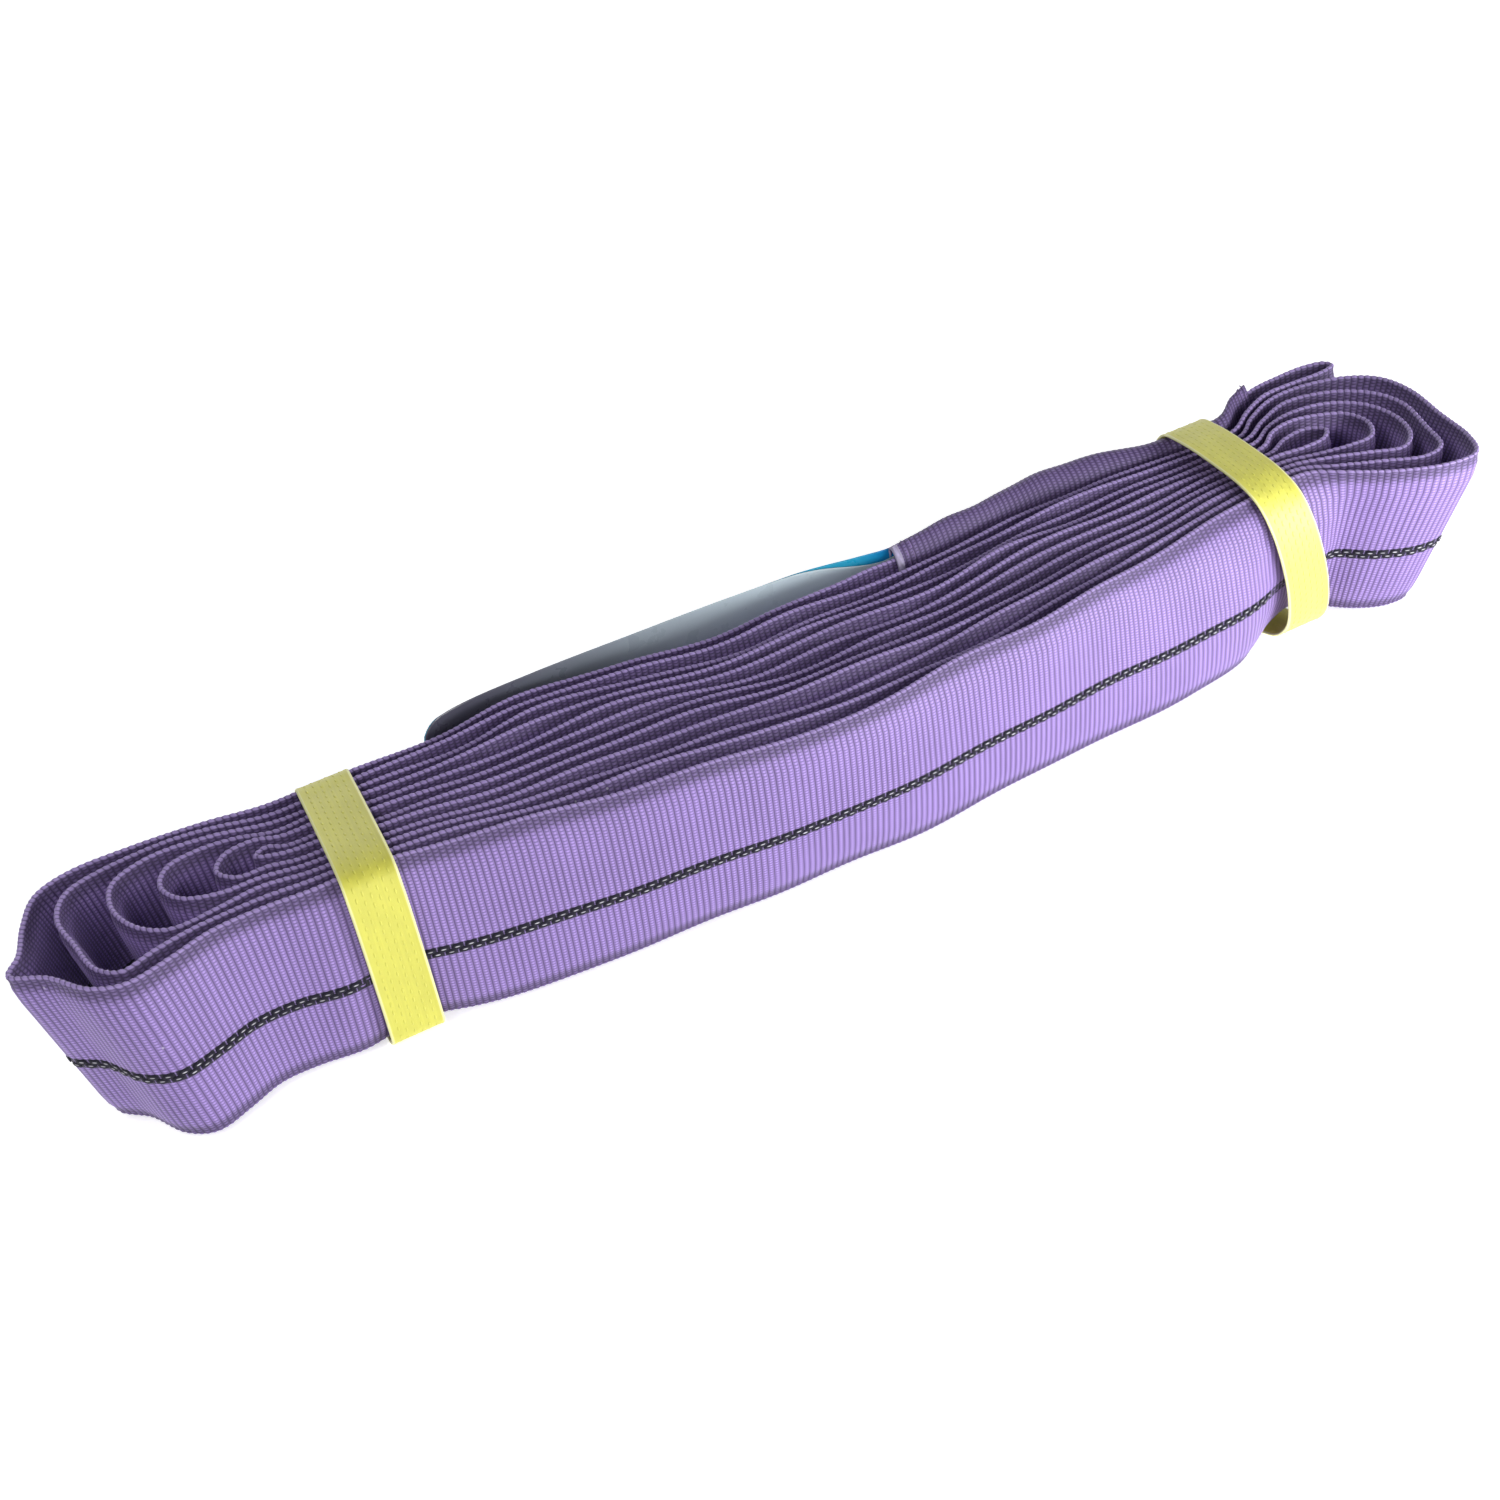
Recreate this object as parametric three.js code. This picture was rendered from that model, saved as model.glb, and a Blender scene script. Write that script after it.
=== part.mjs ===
// Endless tubular lifting sling folded flat into a tied hank, for storage.
// Frame: X along the hank, Y from the front layer to the rear layer, Z up, millimetres.
// The origin is on the surface the hank rests on, under the middle of it.
import * as THREE from 'three';

// Driving dimensions
const WEB_WIDTH = 50;             // lay-flat width of the woven sleeve, which stands on its edge
const LAYERS = 12;                // runs of sleeve side by side in the hank
const STRAP_WIDTH = 15;
const STRAP_THICK = 0.8;
const STRAP_POINTS = 60;
const LAP_LOW_Z = 12;             // the strap's ends lap over each other from here ...
const LAP_HIGH_Z = 42;            // ... to here, on the rear face
const CLEAR = 0.3;                // gap kept between touching pieces
const STRAP_LEFT_X = -132;
const STRAP_RIGHT_X = 153;
const RUN_LEFT_X = -144;          // each run of sleeve is straight from here ...
const RUN_RIGHT_X = 165;          // ... to here, and turns back beyond
const RUN_STATIONS = 14;
const FRONT_Y = -17;              // front layer at the straps
const REAR_Y = 25;                // rear layer at the left strap
const REAR_NARROWING = 4;         // the rear layer is this much nearer at the right strap
const CENTRE_SHIFT_Y = 1.5;       // brings the middle of the whole hank over the origin
const WEB_Z = 2;                  // lower edges of the sleeve; the cuff reaches almost down to the straps
const SLEEVE_WALL = 0.45;
const EDGE_INSET = 0.02;          // share of the width taken by the sleeve's folded edges
const CORE_GAP = 0.4;
const CORE_INSET = 0.2;           // the core stays this share of the width clear of the folded edges
const HALF_AT_STRAP = 1.25;       // half the thickness of one run, squeezed by a strap
const HALF_AT_MIDDLE = 1.7;       // and half way between the straps
const SECTION_HEIGHTS = [0, 0.25, 0.75, 1];
const CUFF_START_X = 48;
const CUFF_END_X = 182;
const CUFF_HEIGHT = 53;           // from the sleeve's lower edge; less where the strap presses on it
const CUFF_WALL = 0.6;
const CUFF_ROOM = 1.8;            // the rear layer stands this much further back to make room for the cuff
const CUFF_PRESSED = 1.6;         // the cuff is this much lower where the right strap lies on it
const CUFF_BEND_X = 160;          // from here on the cuff follows the rear layer round behind the strap:
const CUFF_DRAWN_IN = 1.3;        // its loose rear wall is drawn in by this much ...
const CUFF_BEND_ROOM = 0.1;       // ... and its front wall stands this much further off
const CUFF_STEPS = 30;
const SEAM_WIDTH = 2.5;
const SEAM_THICK = 0.4;
const SEAM_INSET = 3.6;           // from each end of the cuff
const LABEL_HEIGHT = 44;
const LABEL_TOP_Z = 53;
const LEAF_THICK = 0.5;           // the label has two leaves, one against the other
const LEAF_OFFSET = 0.4;          // from the label's line to the middle of each leaf
const LABEL_TAIL = 16;            // the part of the label sewn in under the cuff
const LABEL_CORNER = 7;           // rounding of the free end's corners
const LABEL_STEPS = 20;
const LABEL_LINE = [[46.9, 25.5], [38, 27.6], [22, 32.6], [0, 34.6], [-30, 35.6], [-62, 36.2], [-84, 35],
  [-97, 31.2]];                   // the free label seen from above

// Turns of the sleeve beyond the straps: the upper edge seen from above, from one layer to another
const LEFT_TURNS = {
  '1-12': [[-158, -15.5], [-172, -16], [-184, -19.5], [-196, -22], [-204, -18.5], [-211, -9], [-219, -2],
    [-215, 5], [-211, 16], [-205, 26], [-194, 31], [-178, 31.5], [-160, 28.5]],
  '2-11': [[-158, -11.5], [-174, -12], [-186, -14.5], [-195, -17], [-200, -12], [-202, 0], [-203, 12],
    [-198, 22], [-188, 26.5], [-172, 27.5], [-158, 25]],
  '3-10': [[-156, -7.5], [-168, -8.3], [-180, -8], [-187, -2], [-190, 8], [-187, 18], [-176, 23],
    [-160, 21.5]],
  '4-9': [[-154, -4], [-165, -3.5], [-174, 1], [-177, 9], [-173, 16], [-163, 18.5], [-154, 17.5]],
  '5-8': [[-151, 0], [-159, 0.5], [-163, 6], [-159, 12], [-151, 13]],
  '6-7': [[-149, 3.6], [-152.5, 6], [-149, 8.4]],
};
const RIGHT_TURNS = {
  '10-1': [[174, 20.5], [186, 26], [198, 26.5], [210, 22], [217, 14], [219, 2], [217, -13], [214, -29],
    [208, -39], [198, -39], [186, -33], [174, -24]],
  '2-9': [[173, -18.5], [185, -25.5], [196, -31], [204, -29], [209, -17], [212.5, -2], [209, 9],
    [200, 18], [188, 21.5], [175, 16.5]],
  '8-3': [[174, 12.5], [184, 15], [196, 12.5], [204, 5], [206.5, -6], [203, -17], [195, -23],
    [185, -19.5], [174, -14]],
  '4-7': [[174, -9.5], [185, -12], [193, -11.5], [198, -4], [196.5, 4], [190, 8], [180, 10],
    [172, 8.2]],
  '6-5': [[173, 3.8], [181, 4], [185, -0.5], [181, -4.5], [173, -5]],
  '12-11': [[175, 30], [186, 34.6], [197, 36.2], [206, 36], [212.5, 33.8], [213.5, 31], [208, 29.2],
    [198, 29.4], [186, 28.7], [175, 23.8]],
};
// Order in which the one endless sleeve passes through its turns, starting at the left
const TURNS = [
  ['left', '1-12'], ['right', '12-11'], ['left', '11-2'], ['right', '2-9'],
  ['left', '9-4'], ['right', '4-7'], ['left', '7-6'], ['right', '6-5'],
  ['left', '5-8'], ['right', '8-3'], ['left', '3-10'], ['right', '10-1'],
];
// The lower edge turns back sooner than the upper one, so the ends flare upwards
const FLARE = {
  left: { from: -145, reach: 0.82, front: -21, spread: 1.08 },
  right: { from: 165, reach: 0.66, front: -8, spread: 0.77 },
};
// Waves that run through neighbouring layers: place along X, depth (0 front, 1 rear), reaches, push
const WAVES = [
  { x: -62, depth: 0.9, along: 26, across: 0.5, push: 4 },
  { x: -12, depth: 0.95, along: 20, across: 0.35, push: -7 },
  { x: 44, depth: 0.95, along: 26, across: 0.4, push: -5 },
  { x: 102, depth: 0.95, along: 20, across: 0.3, push: 2.5 },
  { x: -25, depth: 0.45, along: 30, across: 0.3, push: 3 },
  { x: -95, depth: 0.4, along: 25, across: 0.3, push: -3 },
  { x: 30, depth: 0.35, along: 22, across: 0.25, push: -2.5 },
  { x: 75, depth: 0.4, along: 25, across: 0.3, push: 2.5 },
];

const bump = (x, at, reach) => Math.exp(-(((x - at) / reach) ** 2));

// How far along the stretch between the two straps, 0 to 1
function between(x) {
  const from = STRAP_LEFT_X + STRAP_WIDTH / 2;
  const to = STRAP_RIGHT_X - STRAP_WIDTH / 2;
  return THREE.MathUtils.clamp((x - from) / (to - from), 0, 1);
}

const arch = (x) => Math.sin(Math.PI * between(x));

// Front face of the hank at x and height v, 0 at the lower edge and 1 at the upper
function frontY(x, v) {
  const upper = FRONT_Y - 20 * arch(x) ** 1.25 + 2.5 * bump(x, 25, 12) - 1.5 * bump(x, 45, 10);
  const lower = FRONT_Y - 15 * arch(x) ** 0.45 + 9 * bump(x, 168, 24) - 4 * bump(x, -144, 20);
  const crown = 1.5 + 6 * bump(x, 158, 45);
  return THREE.MathUtils.lerp(lower, upper, v) - crown * 4 * v * (1 - v);
}

function rearY(x, v) {
  const upper = REAR_Y - REAR_NARROWING * between(x) + 2 * arch(x);
  const lower = upper - 1;
  const crown = 1.5 + 2.5 * bump(x, 158, 45);
  return THREE.MathUtils.lerp(lower, upper, v) + crown * 4 * v * (1 - v);
}

// Middle of one layer, 1 at the front to LAYERS at the rear
function layerY(layer, x, v) {
  const depth = (layer - 1) / (LAYERS - 1);
  let y = THREE.MathUtils.lerp(frontY(x, v), rearY(x, v), depth);
  for (const wave of WAVES) {
    y += wave.push * bump(x, wave.x, wave.along) * bump(depth, wave.depth, wave.across);
  }
  if (layer === LAYERS) y += CUFF_ROOM * THREE.MathUtils.smoothstep(x, CUFF_START_X - 14, CUFF_START_X + 2);
  return y;
}

function turnPoints(side, name, v) {
  const turns = side === 'left' ? LEFT_TURNS : RIGHT_TURNS;
  const reversed = name.split('-').reverse().join('-');
  const upper = turns[name] ?? turns[reversed].toReversed();
  const flare = FLARE[side];
  return upper.map(([x, y]) => {
    const lowX = flare.from + (x - flare.from) * flare.reach;
    const lowY = flare.front + (y - FRONT_Y) * flare.spread;
    return new THREE.Vector3(THREE.MathUtils.lerp(lowX, x, v), THREE.MathUtils.lerp(lowY, y, v), 0);
  });
}

// Guide points of the whole sleeve at one height, in the order of the turns
function guidePoints(v) {
  const points = [];
  for (const [side, name] of TURNS) {
    points.push(...turnPoints(side, name, v));
    const layer = Number(name.split('-')[1]);
    for (let i = 0; i < RUN_STATIONS; i += 1) {
      const step = side === 'left' ? i : RUN_STATIONS - 1 - i;
      const share = step / (RUN_STATIONS - 1);
      const closerAtEnds = share - 0.4 * Math.sin(2 * Math.PI * share) / (2 * Math.PI);
      const x = THREE.MathUtils.lerp(RUN_LEFT_X, RUN_RIGHT_X, closerAtEnds);
      points.push(new THREE.Vector3(x, layerY(layer, x, v), 0));
    }
  }
  return points;
}

const inTurn = (point) => point.x < RUN_LEFT_X || point.x > RUN_RIGHT_X;

// Smooth closed line through the guide points: two steps in a turn, one along a run
function smoothPath(v) {
  const guides = guidePoints(v);
  const curve = new THREE.CatmullRomCurve3(guides, true, 'centripetal');
  const path = [];
  guides.forEach((guide, index) => {
    path.push(curve.getPoint(index / guides.length));
    const next = guides[(index + 1) % guides.length];
    if (inTurn(guide) || inTurn(next)) path.push(curve.getPoint((index + 0.5) / guides.length));
  });
  return path;
}

const ROUTE_AT = new Map(SECTION_HEIGHTS.map((v) => [v, smoothPath(v)]));
const ROUTE_STEPS = [...ROUTE_AT.get(0).keys()];

// Point of the sleeve's middle surface at one step of the route and any height
function routePoint(step, v) {
  const upperBand = v >= 0.75;
  const lowerBand = v <= 0.25;
  const [a, b] = upperBand ? [0.75, 1] : lowerBand ? [0, 0.25] : [0.25, 0.75];
  const point = ROUTE_AT.get(a)[step].clone().lerp(ROUTE_AT.get(b)[step], (v - a) / (b - a));
  point.z = WEB_Z + WEB_WIDTH * v;
  return point;
}

// Horizontal direction across the sleeve at one step
function across(step) {
  const total = ROUTE_STEPS.length;
  const ahead = routePoint((step + 1) % total, 0.5);
  const behind = routePoint((step + total - 1) % total, 0.5);
  const along = ahead.sub(behind).setZ(0).normalize();
  return new THREE.Vector3(-along.y, along.x, 0);
}

function halfThickness(step) {
  const x = routePoint(step, 0.5).x;
  return THREE.MathUtils.lerp(HALF_AT_STRAP, HALF_AT_MIDDLE, arch(x) ** 2);
}

// Six-sided lens section: top edge, two upper shoulders, two lower shoulders, bottom edge
function lensSection(step, half, inset) {
  const side = across(step).multiplyScalar(half);
  const top = routePoint(step, 1 - inset);
  const bottom = routePoint(step, inset);
  const upper = routePoint(step, 0.75);
  const lower = routePoint(step, 0.25);
  return [
    top,
    upper.clone().add(side), lower.clone().add(side),
    bottom,
    lower.clone().sub(side), upper.clone().sub(side),
  ];
}

// Two triangles between points a and b of one ring and the same points a step further on.
// Both sides of a section fold along matching diagonals, so a twisted wall keeps its thickness.
function span(a, b, step, fold) {
  return fold
    ? [a, a + step, b, a + step, b + step, b]
    : [a, a + step, b + step, a, b + step, b];
}

// Closed body from matching rings; "closed" joins the last ring to the first
function loft(rings, closed) {
  const count = rings[0].length;
  const positions = rings.flat().flatMap((point) => point.toArray());
  const index = [];
  const spans = closed ? rings.length : rings.length - 1;
  for (let i = 0; i < spans; i += 1) {
    const here = i * count;
    const there = ((i + 1) % rings.length) * count;
    for (let j = 0; j < count; j += 1) {
      const k = (j + 1) % count;
      index.push(...span(here + j, here + k, there - here, j < count / 2));
    }
  }
  if (!closed) {
    const last = (rings.length - 1) * count;
    for (let j = 1; j < count - 1; j += 1) {
      index.push(0, j, j + 1);
      index.push(last, last + j + 1, last + j);
    }
  }
  return outwardGeometry(positions, index);
}

// Open-ended pipe from matching outer and inner rings
function pipe(outerRings, innerRings) {
  const count = outerRings[0].length;
  const innerStart = outerRings.length * count;
  const positions = [...outerRings.flat(), ...innerRings.flat()].flatMap((point) => point.toArray());
  const index = [];
  for (let i = 0; i < outerRings.length - 1; i += 1) {
    for (let j = 0; j < count; j += 1) {
      const a = i * count + j;
      const b = i * count + ((j + 1) % count);
      index.push(...span(a, b, count, j < count / 2));
      index.push(...span(innerStart + b, innerStart + a, count, j >= count / 2));
    }
  }
  const last = (outerRings.length - 1) * count;
  for (let j = 0; j < count; j += 1) {
    const k = (j + 1) % count;
    index.push(j, k, innerStart + k, j, innerStart + k, innerStart + j);
    index.push(last + j, innerStart + last + k, last + k);
    index.push(last + j, innerStart + last + j, innerStart + last + k);
  }
  return outwardGeometry(positions, index);
}

// Turns the faces over if they enclose a negative volume
function outwardGeometry(positions, index) {
  let volume = 0;
  const corner = (i) => new THREE.Vector3().fromArray(positions, i * 3);
  for (let i = 0; i < index.length; i += 3) {
    volume += corner(index[i]).dot(corner(index[i + 1]).cross(corner(index[i + 2])));
  }
  const geometry = new THREE.BufferGeometry();
  geometry.setAttribute('position', new THREE.Float32BufferAttribute(positions, 3));
  geometry.setIndex(volume < 0 ? index.toReversed() : index);
  geometry.computeVertexNormals();
  return geometry;
}

const MATERIALS = {
  weave: { color: 0x8c6fc0, roughness: 0.75, metalness: 0 },
  yarn: { color: 0xe9e6dc, roughness: 0.8, metalness: 0 },
  thread: { color: 0x6f55a0, roughness: 0.7, metalness: 0 },
  strapping: { color: 0xe3e255, roughness: 0.45, metalness: 0 },
  labelFace: { color: 0x19a3d6, roughness: 0.35, metalness: 0 },
  labelBack: { color: 0xe4e6ea, roughness: 0.25, metalness: 0 },
};

function piece(name, geometry, finish) {
  const mesh = new THREE.Mesh(geometry, new THREE.MeshStandardMaterial(MATERIALS[finish]));
  mesh.name = name;
  return mesh;
}

// Woven sleeve: a flat hollow tube whose two ends meet under the cuff on the rear layer
function wovenSleeve() {
  const total = ROUTE_STEPS.length;
  const joint = jointStep();
  const outer = [];
  const inner = [];
  for (let i = 0; i < total; i += 1) {
    const step = (joint + i) % total;
    const half = halfThickness(step);
    outer.push(lensSection(step, half, 0));
    inner.push(lensSection(step, half - SLEEVE_WALL, EDGE_INSET));
  }
  return pipe(outer, inner);
}

// First step of the route past the middle of the cuff on the rear layer
function jointStep() {
  const middle = (CUFF_START_X + CUFF_END_X) / 2;
  return ROUTE_STEPS.find((step) => routePoint(step, 0.5).x > middle);
}

// Core: an endless skein of load-bearing yarn that fills the sleeve
function coreYarn() {
  const rings = ROUTE_STEPS.map((step) => {
    const half = halfThickness(step) - SLEEVE_WALL - CORE_GAP;
    return lensSection(step, half, CORE_INSET);
  });
  return loft(rings, true);
}

// Offset from the rear layer's middle to the inside of the cuff's loose rear wall
const cuffStandOff = (x) => 3.5 + 4.5 * bump(x, 108, 24) + 1.2 * bump(x, 64, 9)
  - CUFF_DRAWN_IN * THREE.MathUtils.smoothstep(x, CUFF_BEND_X, CUFF_BEND_X + 12);

// The rear layer as built, between the steps of its run
function rearLayerY(x, v) {
  const step = ROUTE_STEPS.find((i) => routePoint(i, v).x <= x && routePoint(i + 1, v).x > x);
  const here = routePoint(step, v);
  const next = routePoint(step + 1, v);
  return THREE.MathUtils.lerp(here.y, next.y, (x - here.x) / (next.x - here.x));
}

// A little more room in the cuff where the rear layer bends away behind the right strap
const bendRoom = (x) => CUFF_BEND_ROOM * THREE.MathUtils.smoothstep(x, CUFF_BEND_X, CUFF_BEND_X + 10);

// Section of the cuff: its front wall hugs the rear layer and its rear wall stands off
function cuffSection(x, inset, growth) {
  const front = HALF_AT_MIDDLE + CLEAR + growth + bendRoom(x);
  const edge = 0.8 + growth;
  const rear = cuffStandOff(x) + growth;
  const y = (v) => rearLayerY(x, v);
  const z = (v) => WEB_Z + WEB_WIDTH * v;
  const pressed = CUFF_PRESSED * (THREE.MathUtils.smoothstep(x, STRAP_RIGHT_X - 30, STRAP_RIGHT_X - 12)
    - THREE.MathUtils.smoothstep(x, STRAP_RIGHT_X + 9, STRAP_RIGHT_X + 21));
  const low = WEB_Z - CLEAR - CUFF_WALL + inset;
  return [
    new THREE.Vector3(x, y(1) + rear * 0.5, WEB_Z + CUFF_HEIGHT - pressed - inset),
    new THREE.Vector3(x, y(0.75) + rear, z(0.8)),
    new THREE.Vector3(x, y(0.25) + rear, z(0.2)),
    new THREE.Vector3(x, y(0) + 1.2 + growth, low),
    new THREE.Vector3(x, y(0) - edge, low),
    new THREE.Vector3(x, y(0.25) - front, z(0.25)),
    new THREE.Vector3(x, y(0.75) - front, z(0.75)),
    new THREE.Vector3(x, y(1) - edge, z(1)),
  ];
}

function cuffRings(fromX, toX, steps, inset, growth) {
  const rings = [];
  for (let i = 0; i <= steps; i += 1) {
    rings.push(cuffSection(THREE.MathUtils.lerp(fromX, toX, i / steps), inset, growth));
  }
  return rings;
}

// Joint cuff: a short wider sleeve drawn over the rear layer where the sleeve's ends meet
function jointCuff() {
  const outer = cuffRings(CUFF_START_X, CUFF_END_X, CUFF_STEPS, 0, CUFF_WALL);
  const inner = cuffRings(CUFF_START_X, CUFF_END_X, CUFF_STEPS, CUFF_WALL, 0);
  return pipe(outer, inner);
}

// Cuff seam: two close rows of lockstitch round the cuff, as one thin band of thread
function cuffSeam(x) {
  const outer = cuffRings(x, x + SEAM_WIDTH, 1, -CLEAR - SEAM_THICK, CUFF_WALL + CLEAR + SEAM_THICK);
  const inner = cuffRings(x, x + SEAM_WIDTH, 1, -CLEAR, CUFF_WALL + CLEAR);
  return pipe(outer, inner);
}

// One leaf of the label, as an upright curved sheet at an offset behind the label's line
function labelLeaf(offset) {
  const line = new THREE.CatmullRomCurve3(LABEL_LINE.map(([x, y]) => new THREE.Vector3(x, y, 0)));
  const rings = [];
  for (let i = 0; i <= LABEL_STEPS; i += 1) {
    const point = line.getPoint(i / LABEL_STEPS);
    const along = line.getTangent(i / LABEL_STEPS);
    const back = new THREE.Vector3(along.y, -along.x, 0);
    const rounding = LABEL_CORNER * bump(i, LABEL_STEPS, 1.2);
    const low = LABEL_TOP_Z - LABEL_HEIGHT + rounding;
    const high = LABEL_TOP_Z - rounding;
    const near = point.clone().addScaledVector(back, offset - LEAF_THICK / 2);
    const far = point.clone().addScaledVector(back, offset + LEAF_THICK / 2);
    rings.push([
      near.clone().setZ(low), near.clone().setZ(high),
      far.clone().setZ(high), far.clone().setZ(low),
    ]);
  }
  return loft(rings, false);
}

// Tail of the label: both leaves together, held between the cuff and the rear layer
function labelTail() {
  const rings = [];
  for (const x of [CUFF_START_X, CUFF_START_X + LABEL_TAIL / 2, CUFF_START_X + LABEL_TAIL]) {
    const near = (v) => rearLayerY(x, v) + HALF_AT_MIDDLE + CLEAR;
    const corner = (v, thick) => new THREE.Vector3(x, near(v) + thick, WEB_Z + WEB_WIDTH * v);
    rings.push([corner(0.22, 0), corner(0.78, 0), corner(0.78, 1), corner(0.22, 1)]);
  }
  return loft(rings, false);
}

// Inside outlines of the two packing straps: [y, z] from the front foot round over the top
const STRAP_OUTLINES = {
  left: [[-16, 0.8], [-20.5, 0.9], [-23.8, 3], [-24.2, 8], [-23.8, 20], [-23, 34], [-21.6, 46],
    [-19.4, 51.2], [-14, 52.9], [2, 53.3], [18, 53.1], [26, 52.2], [28.4, 46], [28.6, 30], [28.4, 10],
    [26.4, 2.2], [21, 0.8]],
  right: [[-10, 0.8], [-17, 2.2], [-23, 9], [-26.2, 20], [-26.6, 32], [-24.6, 43], [-20.4, 50.6],
    [-13, 54], [2, 55.4], [18, 55.2], [27, 53.4], [31, 47], [32.2, 30], [31.6, 12], [29, 3], [22, 0.8]],
};
// Centre of each strap along X: at the rear, then the shift of its front part at the top and at the foot
const STRAP_PLACES = {
  left: { rear: -127, frontTop: -5, frontFoot: -4 },
  right: { rear: 152, frontTop: -2, frontFoot: 8 },
};

// One packing strap: flat plastic band welded into a loop, its lapped ends on the rear face
function packingStrap(side) {
  const outline = STRAP_OUTLINES[side].map(([y, z]) => new THREE.Vector2(y, z));
  const inside = new THREE.SplineCurve(outline).getPoints(STRAP_POINTS);
  const outside = inside.map((point, i) => {
    const before = inside[Math.max(i - 1, 0)];
    const after = inside[Math.min(i + 1, inside.length - 1)];
    const along = after.clone().sub(before).normalize();
    const lapped = point.x > REAR_Y - 5 && point.y > LAP_LOW_Z && point.y < LAP_HIGH_Z;
    const thick = STRAP_THICK * (lapped ? 2 : 1);
    return new THREE.Vector2(point.x - along.y * thick, Math.max(point.y + along.x * thick, 0));
  });
  outside[0].set(outline[0].x, 0);
  outside.at(-1).set(outline.at(-1).x, 0);
  const shape = new THREE.Shape(outside.toReversed());
  shape.holes.push(new THREE.Path(inside.toReversed()));
  const geometry = new THREE.ExtrudeGeometry(shape, { depth: STRAP_WIDTH, bevelEnabled: false });
  const place = STRAP_PLACES[side];
  const position = geometry.attributes.position;
  for (let i = 0; i < position.count; i += 1) {
    const y = position.getX(i);
    const z = position.getY(i);
    const frontShare = THREE.MathUtils.clamp((28 - y) / 50, 0, 1);
    const shift = frontShare * THREE.MathUtils.lerp(place.frontFoot, place.frontTop, z / 52);
    position.setXYZ(i, place.rear + shift + position.getZ(i) - STRAP_WIDTH / 2, y, z);
  }
  geometry.computeVertexNormals();
  return geometry;
}

const sling = new THREE.Group();
sling.position.y = CENTRE_SHIFT_Y;
sling.add(piece('woven_sleeve', wovenSleeve(), 'weave'));
sling.add(piece('core_yarn', coreYarn(), 'yarn'));
sling.add(piece('joint_cuff', jointCuff(), 'weave'));
sling.add(piece('cuff_seam_at_label', cuffSeam(CUFF_START_X + SEAM_INSET), 'thread'));
sling.add(piece('cuff_seam_at_far_end', cuffSeam(CUFF_END_X - SEAM_INSET), 'thread'));
sling.add(piece('label_tail', labelTail(), 'labelBack'));
sling.add(piece('label_inner_leaf', labelLeaf(-LEAF_OFFSET), 'labelBack'));
sling.add(piece('label_outer_leaf', labelLeaf(LEAF_OFFSET), 'labelFace'));
sling.add(piece('packing_strap_left', packingStrap('left'), 'strapping'));
sling.add(piece('packing_strap_right', packingStrap('right'), 'strapping'));

export default sling;
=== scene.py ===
import bmesh
import bpy
import numpy as np
from mathutils import Matrix, Vector


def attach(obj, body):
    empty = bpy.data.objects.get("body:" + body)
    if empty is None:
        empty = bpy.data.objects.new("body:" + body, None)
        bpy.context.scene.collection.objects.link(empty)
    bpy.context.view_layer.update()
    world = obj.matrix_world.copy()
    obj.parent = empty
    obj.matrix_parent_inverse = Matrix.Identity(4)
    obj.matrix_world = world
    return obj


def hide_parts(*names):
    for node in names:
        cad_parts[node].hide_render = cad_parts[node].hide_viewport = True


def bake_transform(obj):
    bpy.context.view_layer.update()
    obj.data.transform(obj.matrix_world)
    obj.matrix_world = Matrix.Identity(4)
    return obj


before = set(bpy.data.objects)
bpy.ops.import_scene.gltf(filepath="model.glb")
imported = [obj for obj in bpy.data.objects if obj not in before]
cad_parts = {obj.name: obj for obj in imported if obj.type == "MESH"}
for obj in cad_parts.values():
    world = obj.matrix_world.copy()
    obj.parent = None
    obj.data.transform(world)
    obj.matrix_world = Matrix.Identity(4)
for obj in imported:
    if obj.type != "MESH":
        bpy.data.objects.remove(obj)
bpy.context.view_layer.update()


# Route of the sleeve. One endless tube is folded into twelve runs side by side, standing on edge,
# and turns back in loose loops beyond the two packing straps. The turns are guide points in
# millimetres seen from above, at the upper edge; the lower edge turns back a little sooner.
MM = 0.001
LAYERS = 12
WEB_WIDTH = 50.0
WEB_Z = 2.0
STRAP_WIDTH = 15.0
STRAP_X = (-132.0, 153.0)
RUN_X = (-144.0, 165.0)
RUN_STATIONS = 14
FRONT_Y = -17.0
REAR_Y = 25.0
REAR_NARROWING = 4.0
CENTRE_SHIFT_Y = 1.5
CUFF_X = (48.0, 182.0)
CUFF_ROOM = 1.8

LEFT_TURNS = {
    "1-12": [(-158, -15.5), (-172, -16), (-184, -19.5), (-196, -22), (-204, -18.5), (-211, -9), (-219, -2),
             (-215, 5), (-211, 16), (-205, 26), (-194, 31), (-178, 31.5), (-160, 28.5)],
    "2-11": [(-158, -11.5), (-174, -12), (-186, -14.5), (-195, -17), (-200, -12), (-202, 0), (-203, 12),
             (-198, 22), (-188, 26.5), (-172, 27.5), (-158, 25)],
    "3-10": [(-156, -7.5), (-168, -8.3), (-180, -8), (-187, -2), (-190, 8), (-187, 18), (-176, 23),
             (-160, 21.5)],
    "4-9": [(-154, -4), (-165, -3.5), (-174, 1), (-177, 9), (-173, 16), (-163, 18.5), (-154, 17.5)],
    "5-8": [(-151, 0), (-159, 0.5), (-163, 6), (-159, 12), (-151, 13)],
    "6-7": [(-149, 3.6), (-152.5, 6), (-149, 8.4)],
}
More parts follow.
